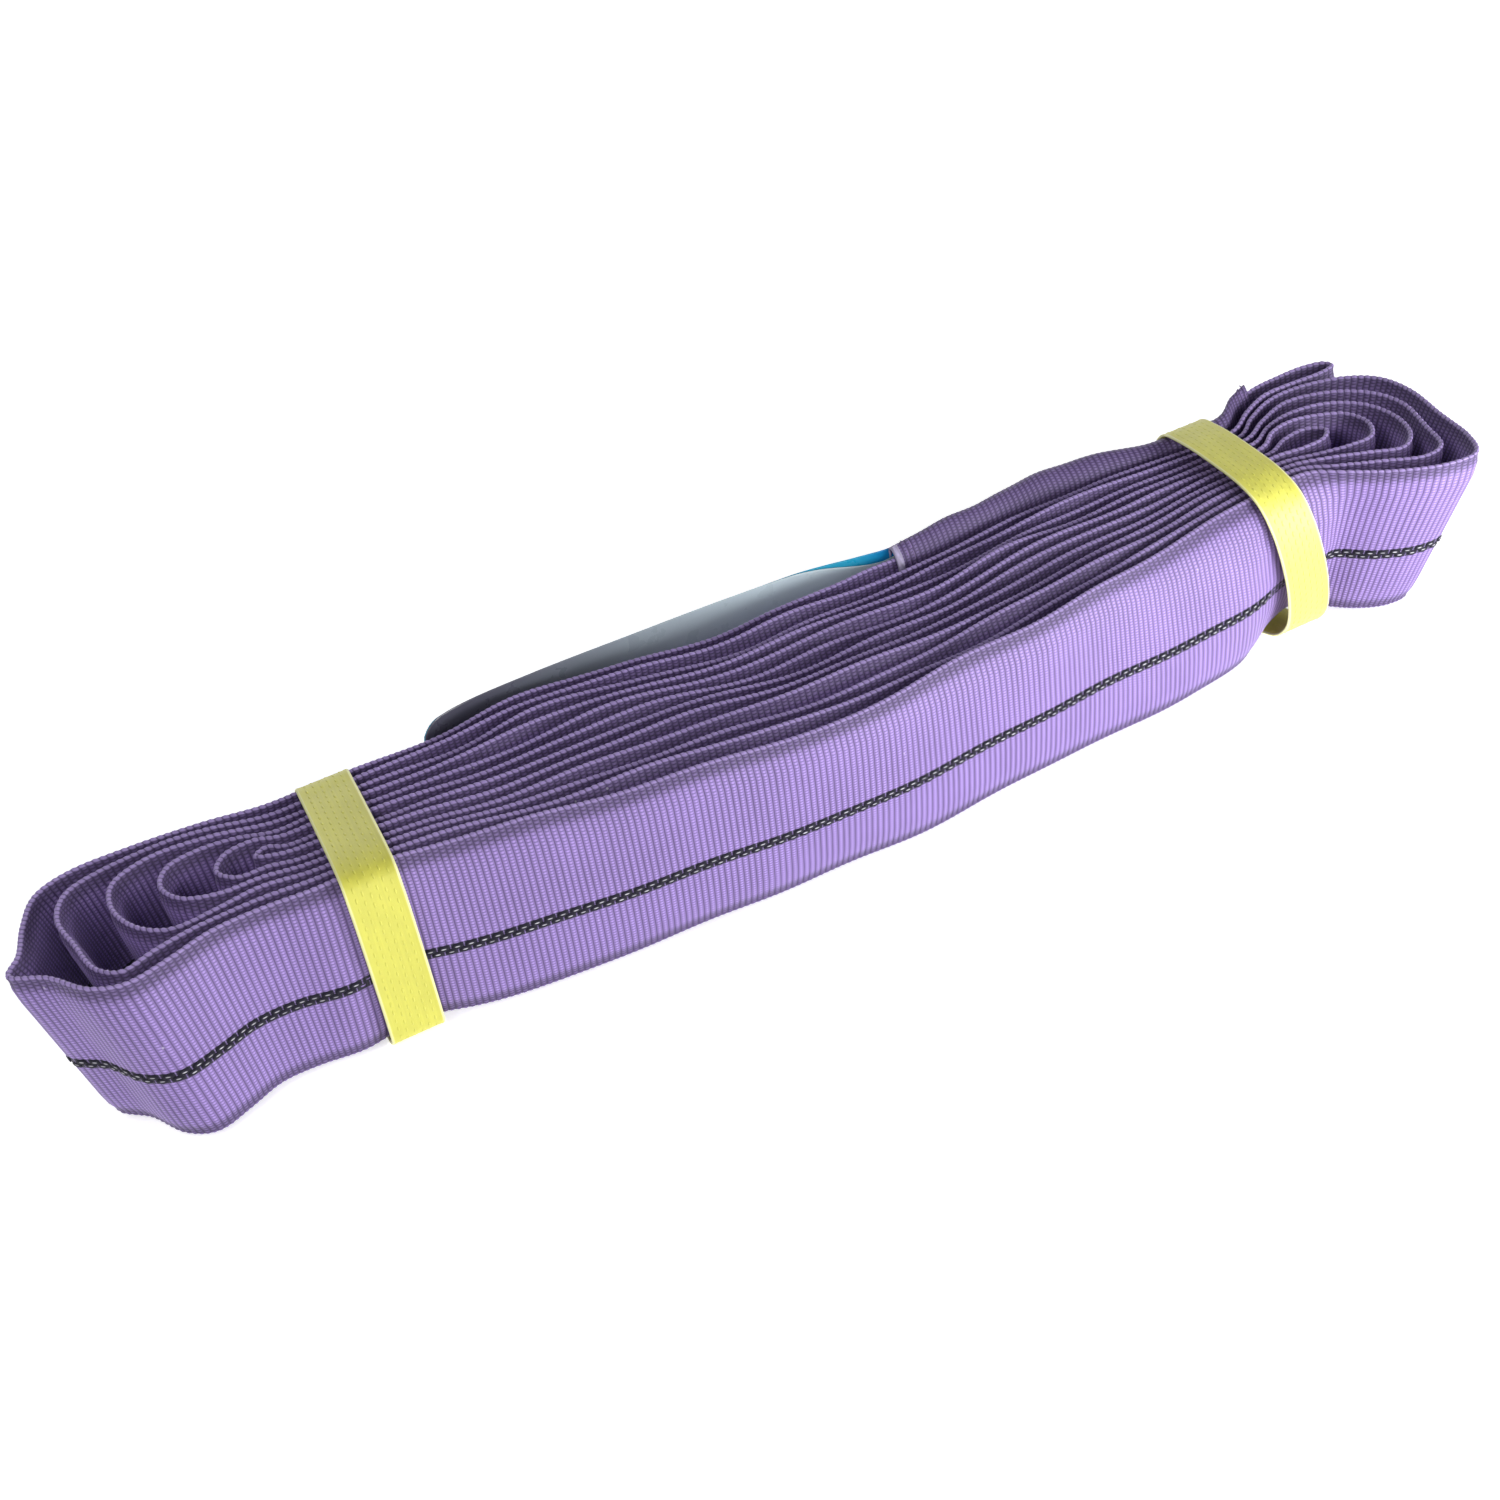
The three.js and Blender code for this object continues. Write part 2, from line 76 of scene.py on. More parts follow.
RIGHT_TURNS = {
    "10-1": [(174, 20.5), (186, 26), (198, 26.5), (210, 22), (217, 14), (219, 2), (217, -13), (214, -29),
             (208, -39), (198, -39), (186, -33), (174, -24)],
    "2-9": [(173, -18.5), (185, -25.5), (196, -31), (204, -29), (209, -17), (212.5, -2), (209, 9),
            (200, 18), (188, 21.5), (175, 16.5)],
    "8-3": [(174, 12.5), (184, 15), (196, 12.5), (204, 5), (206.5, -6), (203, -17), (195, -23),
            (185, -19.5), (174, -14)],
    "4-7": [(174, -9.5), (185, -12), (193, -11.5), (198, -4), (196.5, 4), (190, 8), (180, 10), (172, 8.2)],
    "6-5": [(173, 3.8), (181, 4), (185, -0.5), (181, -4.5), (173, -5)],
    "12-11": [(175, 30), (186, 34.6), (197, 36.2), (206, 36), (212.5, 33.8), (213.5, 31), (208, 29.2),
              (198, 29.4), (186, 28.7), (175, 23.8)],
}
TURNS = [
    ("left", "1-12"), ("right", "12-11"), ("left", "11-2"), ("right", "2-9"),
    ("left", "9-4"), ("right", "4-7"), ("left", "7-6"), ("right", "6-5"),
    ("left", "5-8"), ("right", "8-3"), ("left", "3-10"), ("right", "10-1"),
]
FLARE = {
    "left": {"from": -145.0, "reach": 0.82, "front": -21.0, "spread": 1.08},
    "right": {"from": 165.0, "reach": 0.66, "front": -8.0, "spread": 0.77},
}
# Waves through neighbouring layers: place along X, depth (0 front, 1 rear), their reaches, push
WAVES = [
    (-62, 0.9, 26, 0.5, 4.0), (-12, 0.95, 20, 0.35, -7.0), (44, 0.95, 26, 0.4, -5.0),
    (102, 0.95, 20, 0.3, 2.5), (-25, 0.45, 30, 0.3, 3.0), (-95, 0.4, 25, 0.3, -3.0),
    (30, 0.35, 22, 0.25, -2.5), (75, 0.4, 25, 0.3, 2.5),
]


def bump(x, at, reach):
    return np.exp(-(((x - at) / reach) ** 2))


def ease(x, low, high):
    share = np.clip((x - low) / (high - low), 0.0, 1.0)
    return share * share * (3.0 - 2.0 * share)


def mix(a, b, share):
    return a + (b - a) * share


def arch(x):
    """0 at the straps and 1 half way between them."""
    low = STRAP_X[0] + STRAP_WIDTH / 2
    high = STRAP_X[1] - STRAP_WIDTH / 2
    return np.sin(np.pi * np.clip((x - low) / (high - low), 0.0, 1.0))


def front_y(x, v):
    upper = FRONT_Y - 20 * arch(x) ** 1.25 + 2.5 * bump(x, 25, 12) - 1.5 * bump(x, 45, 10)
    lower = FRONT_Y - 15 * arch(x) ** 0.45 + 9 * bump(x, 168, 24) - 4 * bump(x, -144, 20)
    crown = 1.5 + 6 * bump(x, 158, 45)
    return mix(lower, upper, v) - crown * 4 * v * (1 - v)


def rear_y(x, v):
    low = STRAP_X[0] + STRAP_WIDTH / 2
    high = STRAP_X[1] - STRAP_WIDTH / 2
    between = np.clip((x - low) / (high - low), 0.0, 1.0)
    upper = REAR_Y - REAR_NARROWING * between + 2 * arch(x)
    crown = 1.5 + 2.5 * bump(x, 158, 45)
    return mix(upper - 1, upper, v) + crown * 4 * v * (1 - v)


def layer_y(layer, x, v):
    depth = (layer - 1) / (LAYERS - 1)
    y = mix(front_y(x, v), rear_y(x, v), depth)
    for at, level, along, across, push in WAVES:
        y = y + push * bump(x, at, along) * bump(depth, level, across)
    if layer == LAYERS:
        y = y + CUFF_ROOM * ease(x, CUFF_X[0] - 14, CUFF_X[0] + 2)
    return y


def turn_guides(side, name, v):
    turns = LEFT_TURNS if side == "left" else RIGHT_TURNS
    first, last = name.split("-")
    upper = turns[name] if name in turns else turns[f"{last}-{first}"][::-1]
    flare = FLARE[side]
    rows = []
    for x, y in upper:
        low_x = flare["from"] + (x - flare["from"]) * flare["reach"]
        low_y = flare["front"] + (y - FRONT_Y) * flare["spread"]
        rows.append(np.stack([mix(low_x, x, v), mix(low_y, y, v)], axis=1))
    return rows


def route_guides(v):
    """Guide points of the whole sleeve at the heights v, as an array of guides x heights x 2."""
    share = np.arange(RUN_STATIONS) / (RUN_STATIONS - 1)
    closer_at_ends = share - 0.4 * np.sin(2 * np.pi * share) / (2 * np.pi)
    run = mix(RUN_X[0], RUN_X[1], closer_at_ends)
    rows = []
    for side, name in TURNS:
        rows += turn_guides(side, name, v)
        layer = int(name.split("-")[1])
        for x in run if side == "left" else run[::-1]:
            rows.append(np.stack([np.full_like(v, x), layer_y(layer, x, v)], axis=1))
    return np.array(rows)


def spline(guides, at):
    """Closed centripetal Catmull-Rom line through the guides, at places counted in guides."""
    count = len(guides)
    first = np.floor(at).astype(int)
    t = (at - first).reshape(-1, *[1] * (guides.ndim - 1))
    p0, p1, p2, p3 = (guides[(first + k) % count] for k in (-1, 0, 1, 2))
    d0, d1, d2 = (
        np.maximum(np.linalg.norm(b - a, axis=-1, keepdims=True) ** 0.5, 1e-4)
        for a, b in ((p0, p1), (p1, p2), (p2, p3))
    )
    m1 = ((p1 - p0) / d0 - (p2 - p0) / (d0 + d1) + (p2 - p1) / d1) * d1
    m2 = ((p2 - p1) / d1 - (p3 - p1) / (d1 + d2) + (p3 - p2) / d2) * d1
    return p1 + m1 * t + (3 * (p2 - p1) - 2 * m1 - m2) * t**2 + (2 * (p1 - p2) + m1 + m2) * t**3


# Woven sleeve. A ribbed tube of violet polyester, woven endless across, so its two edges are
# folds and not seams. Each rib is a bundle of weft under the warp, and at the folds the ribs
# stand out as a beaded cord. It is laid flat over its soft core.
RIB_PITCH = 1.75
STATIONS_PER_RIB = 4
THREAD_PITCH = 0.85
RIB_DEPTH = 0.17
# Across the cloth: distance from the edge, half thickness, rib gain on the face, rib gain outwards
# at the fold, and how far the ribs lead as they wrap round the fold
EDGE_PROFILE = [
    (0.0, 0.0, 0.0, 1.6, 0.0),
    (0.3, 0.56, 0.9, 1.0, 0.16),
    (0.85, 0.84, 1.7, 0.0, 0.3),
    (1.5, 0.74, 1.4, 0.0, 0.33),
    (2.3, 0.85, 1.0, 0.0, 0.33),
    (4.0, 1.4, 1.0, 0.0, 0.33),
    (8.0, 1.85, 1.0, 0.0, 0.33),
    (15.0, 2.0, 1.0, 0.0, 0.33),
]
CENTRE_HALF = 2.05
LONGEST_STRAND = 1290.0
EDGE_LEAN = 1.3
VIOLET = (0.242, 0.165, 0.42)
MARKER_HEIGHT = 21.0
MARKER_ROW = 0.62
LINK_LENGTH = 3.3
LINK_WIDTH = 1.9
SLIT_LENGTH = 1.3
SLIT_WIDTH = 0.36
FACE_LEAD = 0.33

profile = np.array(EDGE_PROFILE)
middle_row = [[WEB_WIDTH / 2, CENTRE_HALF, 1.0, 0.0, 0.33]]
lower_rows = np.vstack([profile, middle_row])
rows = np.vstack([lower_rows, profile[::-1]])
ROW_COUNT = len(rows)
ROW_HEIGHT = np.concatenate([lower_rows[:, 0], WEB_WIDTH - profile[::-1, 0]])
ROW_SHARE = ROW_HEIGHT / WEB_WIDTH
ROW_UP = np.where(ROW_SHARE > 0.5, 1.0, -1.0)

guides = route_guides(ROW_SHARE)
centre_row = ROW_COUNT // 2
fine_at = np.arange(0, len(guides), 1 / 16)
fine_line = spline(guides[:, centre_row], fine_at)
fine_steps = np.linalg.norm(np.roll(fine_line, -1, axis=0) - fine_line, axis=1)
fine_along = np.concatenate([[0.0], np.cumsum(fine_steps)])
ROUND_LENGTH = fine_along[-1]
STATION_COUNT = int(round(ROUND_LENGTH / RIB_PITCH)) * STATIONS_PER_RIB
STEP = ROUND_LENGTH / STATION_COUNT
rib_pitch = STEP * STATIONS_PER_RIB
joint_x = (CUFF_X[0] + CUFF_X[1]) / 2
joint_along = fine_along[:-1][(fine_line[:, 0] > joint_x)][0]
station_along = joint_along + np.arange(STATION_COUNT + 1) * STEP
station_at = np.interp(station_along % ROUND_LENGTH, fine_along, np.append(fine_at, len(guides)))
cloth_xy = spline(guides, station_at % len(guides))
travelled = np.arange(STATION_COUNT + 1) * STEP

ahead = np.gradient(cloth_xy, axis=0)
ahead /= np.linalg.norm(ahead, axis=2, keepdims=True)
facing = np.stack([-ahead[..., 1], ahead[..., 0], np.zeros(ahead.shape[:2])], axis=2)

# The cloth's edges wander a little up and down, each in its own way, and between the straps some
# runs have sunk lower than others and sway a little in the slack
slack = arch(cloth_xy[:, centre_row, 0])
lift = 0.32 * np.sin(travelled / 15.4) + 0.26 * np.sin(travelled / 6.7 + 1.3)
lift += slack * (0.85 * np.sin(travelled / 47.0 + 0.6) + 0.55 * np.sin(travelled / 23.0 + 2.2) - 0.2)
from_joint = np.minimum(travelled, ROUND_LENGTH - travelled)
lift *= ease(from_joint, 66.0, 84.0)
sway = slack * (0.5 * np.sin(travelled / 17.3) + 0.35 * np.sin(travelled / 10.7 + 1.0))
edge_wander = 0.22 * np.sin(travelled / 9.1 + 2.0)[:, None] * (2 * ROW_SHARE - 1)[None, :]
cloth = np.zeros((STATION_COUNT + 1, ROW_COUNT, 3))
cloth[..., :2] = cloth_xy + facing[..., :2] * (sway[:, None] * ROW_SHARE[None, :] ** 2)[..., None]
ripple = 1.1 * np.sin(cloth_xy[..., 0] / 9.5 + cloth_xy[..., 1] / 14.0)
cloth[..., 1] += slack[:, None] * ripple * ease(cloth_xy[..., 1], -30.0, -8.0) * ROW_SHARE[None, :] ** 3
cloth[..., 1] += CENTRE_SHIFT_Y + EDGE_LEAN * ease(ROW_HEIGHT, WEB_WIDTH - 8, WEB_WIDTH)[None, :]
cloth[..., 2] = WEB_Z + ROW_HEIGHT[None, :] + lift[:, None] + edge_wander

SQUEEZED = 0.78
fullness = mix(SQUEEZED, 1.0, arch(cloth_xy[:, centre_row, 0]) ** 2)[:, None]
away_from_edge = ease(ROW_HEIGHT, 1.5, 12) * ease(WEB_WIDTH - ROW_HEIGHT, 1.5, 12)
half = rows[:, 1] * mix(1.0, fullness, away_from_edge)


def grid_mesh(name, points, closed=False):
    """A sheet of quads from an array of stations x rows of points in millimetres; closed joins the rows."""
    stations, count = points.shape[:2]
    ids = np.arange(stations * count).reshape(stations, count)
    if closed:
        ids = np.concatenate([ids, ids[:, :1]], axis=1)
    corners = np.stack([ids[:-1, :-1], ids[1:, :-1], ids[1:, 1:], ids[:-1, 1:]], axis=-1).reshape(-1, 4)
    mesh = bpy.data.meshes.new(name)
    mesh.vertices.add(stations * count)
    mesh.vertices.foreach_set("co", (points * MM).astype(np.float32).ravel())
    mesh.loops.add(corners.size)
    mesh.loops.foreach_set("vertex_index", corners.astype(np.int32).ravel())
    mesh.polygons.add(len(corners))
    mesh.polygons.foreach_set("loop_start", np.arange(0, corners.size, 4, dtype=np.int32))
    mesh.update(calc_edges=True)
    return mesh


def add_values(mesh, name, values):
    """Stores one number or one vector for each point of a mesh."""
    vectors = values.ndim > 1 and values.shape[-1] == 3
    kind, key = ("FLOAT_VECTOR", "vector") if vectors else ("FLOAT", "value")
    mesh.attributes.new(name, kind, "POINT").data.foreach_set(key, values.astype(np.float32).ravel())


def plain_object(name, mesh):
    made = bpy.data.objects.new(name, mesh)
    bpy.context.scene.collection.objects.link(made)
    return made


def grown(name, guide, tree, **settings):
    """Grows a guide mesh by a Geometry Nodes tree and keeps the result as a plain mesh."""
    source = plain_object(name + "_guide", guide)
    modifier = source.modifiers.new(tree.name, "NODES")
    modifier.node_group = tree
    sockets = {item.name: item for item in tree.interface.items_tree if item.item_type == "SOCKET"}
    for label, value in settings.items():
        modifier[sockets[label.replace("_", " ")].identifier] = value
    bpy.context.view_layer.update()
    graph = bpy.context.evaluated_depsgraph_get()
    mesh = bpy.data.meshes.new_from_object(source.evaluated_get(graph), depsgraph=graph)
    mesh.name = name
    bpy.data.objects.remove(source)
    bpy.data.meshes.remove(guide)
    return plain_object(name, mesh)


def ribbed_wall_tree():
    """Two faces of cloth from one guide sheet, with a rib wave along it, joined at the folds."""
    tree = bpy.data.node_groups.new("ribbed wall", "GeometryNodeTree")
    tree.is_modifier = True
    face = tree.interface
    face.new_socket(name="Guide", in_out="INPUT", socket_type="NodeSocketGeometry")
    face.new_socket(name="Rib Pitch", in_out="INPUT", socket_type="NodeSocketFloat").default_value = 0.0013
    face.new_socket(name="Rib Depth", in_out="INPUT", socket_type="NodeSocketFloat").default_value = 0.00017
    face.new_socket(name="Cloth", in_out="INPUT", socket_type="NodeSocketMaterial")
    face.new_socket(name="Wall", in_out="OUTPUT", socket_type="NodeSocketGeometry")
    nodes, links = tree.nodes, tree.links

    entry = nodes.new("NodeGroupInput")
    entry.label = "guide sheet and sizes"
    along = nodes.new("GeometryNodeInputNamedAttribute")
    along.label = "metres along the cloth"
    along.inputs["Name"].default_value = "along"
    lead = nodes.new("GeometryNodeInputNamedAttribute")
    lead.label = "lead round the fold"
    lead.inputs["Name"].default_value = "lead"
    thick = nodes.new("GeometryNodeInputNamedAttribute")
    thick.label = "half thickness"
    thick.inputs["Name"].default_value = "half"
    gain = nodes.new("GeometryNodeInputNamedAttribute")
    gain.label = "rib gain on the face"
    gain.inputs["Name"].default_value = "gain"
    height = nodes.new("GeometryNodeInputNamedAttribute")
    height.label = "metres across the cloth"
    height.inputs["Name"].default_value = "across"
    skin = nodes.new("GeometryNodeInputNamedAttribute")
    skin.label = "way the face looks"
    skin.data_type = "FLOAT_VECTOR"
    skin.inputs["Name"].default_value = "skin"
    rim = nodes.new("GeometryNodeInputNamedAttribute")
    rim.label = "outwards at the fold"
    rim.data_type = "FLOAT_VECTOR"
    rim.inputs["Name"].default_value = "rim"
    turn = nodes.new("ShaderNodeMath")
    turn.label = "one turn for each rib"
    turn.operation = "DIVIDE"
    turn.inputs[0].default_value = 2 * np.pi
    links.new(entry.outputs["Rib Pitch"], turn.inputs[1])
    join = nodes.new("GeometryNodeJoinGeometry")
    join.label = "both faces"

    for side, label in ((1.0, "outer face"), (-1.0, "inner face")):
        box = nodes.new("NodeFrame")
        box.label = label
        led = nodes.new("ShaderNodeMath")
        led.label = "along, with the lead"
        led.operation = "MULTIPLY_ADD"
        led.inputs[1].default_value = side
        links.new(lead.outputs[0], led.inputs[0])
        links.new(along.outputs[0], led.inputs[2])
        angle = nodes.new("ShaderNodeMath")
        angle.label = "angle in the rib wave"
        angle.operation = "MULTIPLY"
        links.new(led.outputs[0], angle.inputs[0])
        links.new(turn.outputs[0], angle.inputs[1])
        wave = nodes.new("ShaderNodeMath")
        wave.label = "rib wave"
        wave.operation = "COSINE"
        links.new(angle.outputs[0], wave.inputs[0])
        groove = nodes.new("ShaderNodeMath")
        groove.label = "groove, 0 to 1"
        groove.operation = "MULTIPLY_ADD"
        groove.inputs[1].default_value = 0.5
        groove.inputs[2].default_value = 0.5
        links.new(wave.outputs[0], groove.inputs[0])
        sunk = nodes.new("ShaderNodeMath")
        sunk.label = "depth of the groove"
        sunk.operation = "MULTIPLY"
        links.new(groove.outputs[0], sunk.inputs[0])
        links.new(entry.outputs["Rib Depth"], sunk.inputs[1])
        on_face = nodes.new("ShaderNodeMath")
        on_face.label = "depth on the face"
        on_face.operation = "MULTIPLY"
        links.new(sunk.outputs[0], on_face.inputs[0])
        links.new(gain.outputs[0], on_face.inputs[1])
        stand = nodes.new("ShaderNodeMath")
        stand.label = "face's distance from the guide"
        stand.operation = "SUBTRACT"
        links.new(thick.outputs[0], stand.inputs[0])
        links.new(on_face.outputs[0], stand.inputs[1])
        signed = nodes.new("ShaderNodeMath")
        signed.label = "to this side"
        signed.operation = "MULTIPLY"
        signed.inputs[1].default_value = side
        links.new(stand.outputs[0], signed.inputs[0])
        outwards = nodes.new("ShaderNodeVectorMath")
        outwards.label = "move off the guide"
        outwards.operation = "SCALE"
        links.new(skin.outputs[0], outwards.inputs[0])
        links.new(signed.outputs[0], outwards.inputs["Scale"])
        notch = nodes.new("ShaderNodeVectorMath")
        notch.label = "notch between beads at the fold"
        notch.operation = "SCALE"
        links.new(rim.outputs[0], notch.inputs[0])
        links.new(sunk.outputs[0], notch.inputs["Scale"])
        total = nodes.new("ShaderNodeVectorMath")
        total.label = "whole move"
        total.operation = "SUBTRACT"
        links.new(outwards.outputs[0], total.inputs[0])
        links.new(notch.outputs[0], total.inputs[1])
        moved = nodes.new("GeometryNodeSetPosition")
        moved.label = "face in its place"
        links.new(entry.outputs["Guide"], moved.inputs["Geometry"])
        links.new(total.outputs[0], moved.inputs["Offset"])
        place = nodes.new("ShaderNodeCombineXYZ")
        place.label = "place on the cloth"
        links.new(led.outputs[0], place.inputs["X"])
        links.new(height.outputs[0], place.inputs["Y"])
        stored = nodes.new("GeometryNodeStoreNamedAttribute")
        stored.label = "keep the place for the pattern"
        stored.data_type = "FLOAT2"
        stored.domain = "CORNER"
        stored.inputs["Name"].default_value = "place"
        links.new(moved.outputs["Geometry"], stored.inputs["Geometry"])
        links.new(place.outputs[0], stored.inputs["Value"])
        told = nodes.new("GeometryNodeStoreNamedAttribute")
        told.label = "1 on the outer face"
        told.data_type = "FLOAT"
        told.domain = "FACE"
        told.inputs["Name"].default_value = "outer_face"
        told.inputs["Value"].default_value = max(side, 0.0)
        links.new(stored.outputs[0], told.inputs["Geometry"])
        result = told
        if side > 0:
            result = nodes.new("GeometryNodeFlipFaces")
            result.label = "turn the outer face outwards"
            links.new(told.outputs[0], result.inputs[0])
        links.new(result.outputs[0], join.inputs[0])
        for step, node in enumerate((led, angle, wave, groove, sunk, on_face, stand, signed, outwards,
                                     notch, total, moved, place, stored, told)):
            node.parent = box
            node.location = (step * 180, side * 400)

    at_fold = nodes.new("ShaderNodeMath")
    at_fold.label = "points on the fold"
    at_fold.operation = "LESS_THAN"
    at_fold.inputs[1].default_value = 1e-6
    links.new(thick.outputs[0], at_fold.inputs[0])
    merge = nodes.new("GeometryNodeMergeByDistance")
    merge.label = "close the folds"
    merge.inputs["Distance"].default_value = 2e-5
    links.new(join.outputs[0], merge.inputs["Geometry"])
    links.new(at_fold.outputs[0], merge.inputs["Selection"])
    smooth = nodes.new("GeometryNodeSetShadeSmooth")
    smooth.label = "smooth cloth"
    links.new(merge.outputs[0], smooth.inputs[0])
    real = nodes.new("GeometryNodeRealizeInstances")
    real.label = "real mesh"
    links.new(smooth.outputs[0], real.inputs[0])
    finish = nodes.new("GeometryNodeSetMaterial")
    finish.label = "cloth"
    links.new(real.outputs[0], finish.inputs[0])
    links.new(entry.outputs["Cloth"], finish.inputs["Material"])
    leave = nodes.new("NodeGroupOutput")
    links.new(finish.outputs[0], leave.inputs[0])
    for row, node in enumerate((along, lead, thick, gain, height, skin, rim, turn)):
        node.location = (-400, 700 - row * 180)
    for step, node in enumerate((join, at_fold, merge, smooth, real, finish, leave)):
        node.location = (2800 + step * 180, 0)
    return tree


def blank_material(name, colour):
    """A new node material with nothing in it yet, and its nodes and links."""
    made = bpy.data.materials.new(name)
    made.use_nodes = True
    made.diffuse_color = (*colour, 1)
    made.node_tree.nodes.clear()
    return made, made.node_tree.nodes, made.node_tree.links


def frame_groups(nodes, groups):
    """Sets out each group of nodes in a row of its own, in a frame that says what it does."""
    for row, (label, members) in enumerate(groups.items()):
        box = nodes.new("NodeFrame")
        box.label = label
        for column, node in enumerate(members):
            node.parent = box
            node.location = (column * 190, -row * 330)


def ribbed_cloth(name, violet, marker):
    """Ribbed polyester cloth that reads its place from its own map.

    marker is 1 for the folded sleeve, which has the stripe, painted highlights on its folds and painted
    shade near them, and 0 for plain cloth.
    """
    made, nodes, links = blank_material(name, violet)

    # where on the cloth
    place = nodes.new("ShaderNodeUVMap")
    place.label = "metres along and across"
    place.uv_map = "place"
    split = nodes.new("ShaderNodeSeparateXYZ")
    split.label = "along, across"
    links.new(place.outputs["UV"], split.inputs[0])
    ribs = nodes.new("ShaderNodeMath")
    ribs.label = "ribs passed"
    ribs.operation = "MULTIPLY"
    ribs.inputs[1].default_value = 1 / (rib_pitch * MM)
    links.new(split.outputs["X"], ribs.inputs[0])
    threads = nodes.new("ShaderNodeMath")
    threads.label = "warp threads passed"
    threads.operation = "MULTIPLY"
    threads.inputs[1].default_value = 1 / (THREAD_PITCH * MM)
    links.new(split.outputs["Y"], threads.inputs[0])

    # ribs: a groove at each whole number of ribs
    rib_fold = nodes.new("ShaderNodeMath")
    rib_fold.label = "distance from a groove"
    rib_fold.operation = "PINGPONG"
    rib_fold.inputs[1].default_value = 0.5
    links.new(ribs.outputs[0], rib_fold.inputs[0])
    groove = nodes.new("ShaderNodeMapRange")
    groove.label = "groove between ribs"
    groove.interpolation_type = "SMOOTHSTEP"
    groove.inputs["From Min"].default_value = 0.02
    groove.inputs["From Max"].default_value = 0.2
    groove.inputs["To Min"].default_value = 1.0
    groove.inputs["To Max"].default_value = 0.0
    links.new(rib_fold.outputs[0], groove.inputs["Value"])

    crown = nodes.new("ShaderNodeMapRange")
    crown.label = "crown of the rib"
    crown.interpolation_type = "SMOOTHSTEP"
    crown.inputs["From Min"].default_value = 0.2
    crown.inputs["From Max"].default_value = 0.42
    links.new(rib_fold.outputs[0], crown.inputs["Value"])

    # warp threads, offset by half a thread from rib to rib
    rib_number = nodes.new("ShaderNodeMath")
    rib_number.label = "number of the rib"
    rib_number.operation = "FLOOR"
    links.new(ribs.outputs[0], rib_number.inputs[0])
    half_step = nodes.new("ShaderNodeMath")
    half_step.label = "half a thread further each rib"
    half_step.operation = "MULTIPLY_ADD"
    half_step.inputs[1].default_value = 0.5
    links.new(rib_number.outputs[0], half_step.inputs[0])
    links.new(threads.outputs[0], half_step.inputs[2])
    thread_fold = nodes.new("ShaderNodeMath")
    thread_fold.label = "distance from a thread gap"
    thread_fold.operation = "PINGPONG"
    thread_fold.inputs[1].default_value = 0.5
    links.new(half_step.outputs[0], thread_fold.inputs[0])
    thread_gap = nodes.new("ShaderNodeMapRange")
    thread_gap.label = "gap between threads"
    thread_gap.interpolation_type = "SMOOTHSTEP"
    thread_gap.inputs["From Min"].default_value = 0.0
    thread_gap.inputs["From Max"].default_value = 0.34
    thread_gap.inputs["To Min"].default_value = 1.0
    thread_gap.inputs["To Max"].default_value = 0.0
    links.new(thread_fold.outputs[0], thread_gap.inputs["Value"])

    # row of dark dots where the fold's beads end
    from_top = nodes.new("ShaderNodeMath")
    from_top.label = "from the upper edge"
    from_top.operation = "SUBTRACT"
    from_top.inputs[0].default_value = WEB_WIDTH * MM
    links.new(split.outputs["Y"], from_top.inputs[1])
    from_edge = nodes.new("ShaderNodeMath")
    from_edge.label = "from the nearer edge"
    from_edge.operation = "MINIMUM"
    links.new(split.outputs["Y"], from_edge.inputs[0])
    links.new(from_top.outputs[0], from_edge.inputs[1])
    off_row = nodes.new("ShaderNodeMath")
    off_row.label = "from the row of dots"
    off_row.operation = "SUBTRACT"
    off_row.inputs[1].default_value = 0.0025
    links.new(from_edge.outputs[0], off_row.inputs[0])
    off_row_size = nodes.new("ShaderNodeMath")
    off_row_size.label = "either side of it"
    off_row_size.operation = "ABSOLUTE"
    links.new(off_row.outputs[0], off_row_size.inputs[0])
    in_row = nodes.new("ShaderNodeMapRange")
    in_row.label = "in the row"
    in_row.interpolation_type = "SMOOTHSTEP"
    in_row.inputs["From Min"].default_value = 0.0002
    in_row.inputs["From Max"].default_value = 0.0006
    in_row.inputs["To Min"].default_value = 1.0
    in_row.inputs["To Max"].default_value = 0.0
    links.new(off_row_size.outputs[0], in_row.inputs["Value"])
    dot_width = nodes.new("ShaderNodeMapRange")
    dot_width.label = "dot at each groove"
    dot_width.interpolation_type = "SMOOTHSTEP"
    dot_width.inputs["From Min"].default_value = 0.1
    dot_width.inputs["From Max"].default_value = 0.3
    dot_width.inputs["To Min"].default_value = 1.0
    dot_width.inputs["To Max"].default_value = 0.0
    links.new(rib_fold.outputs[0], dot_width.inputs["Value"])
    dots = nodes.new("ShaderNodeMath")
    dots.label = "dark dots"
    dots.operation = "MULTIPLY"
    links.new(in_row.outputs[0], dots.inputs[0])
    links.new(dot_width.outputs[0], dots.inputs[1])
    folded_dots = nodes.new("ShaderNodeMath")
    folded_dots.label = "dots, where the cloth is folded"
    folded_dots.operation = "MULTIPLY"
    folded_dots.inputs[1].default_value = marker
    links.new(dots.outputs[0], folded_dots.inputs[0])

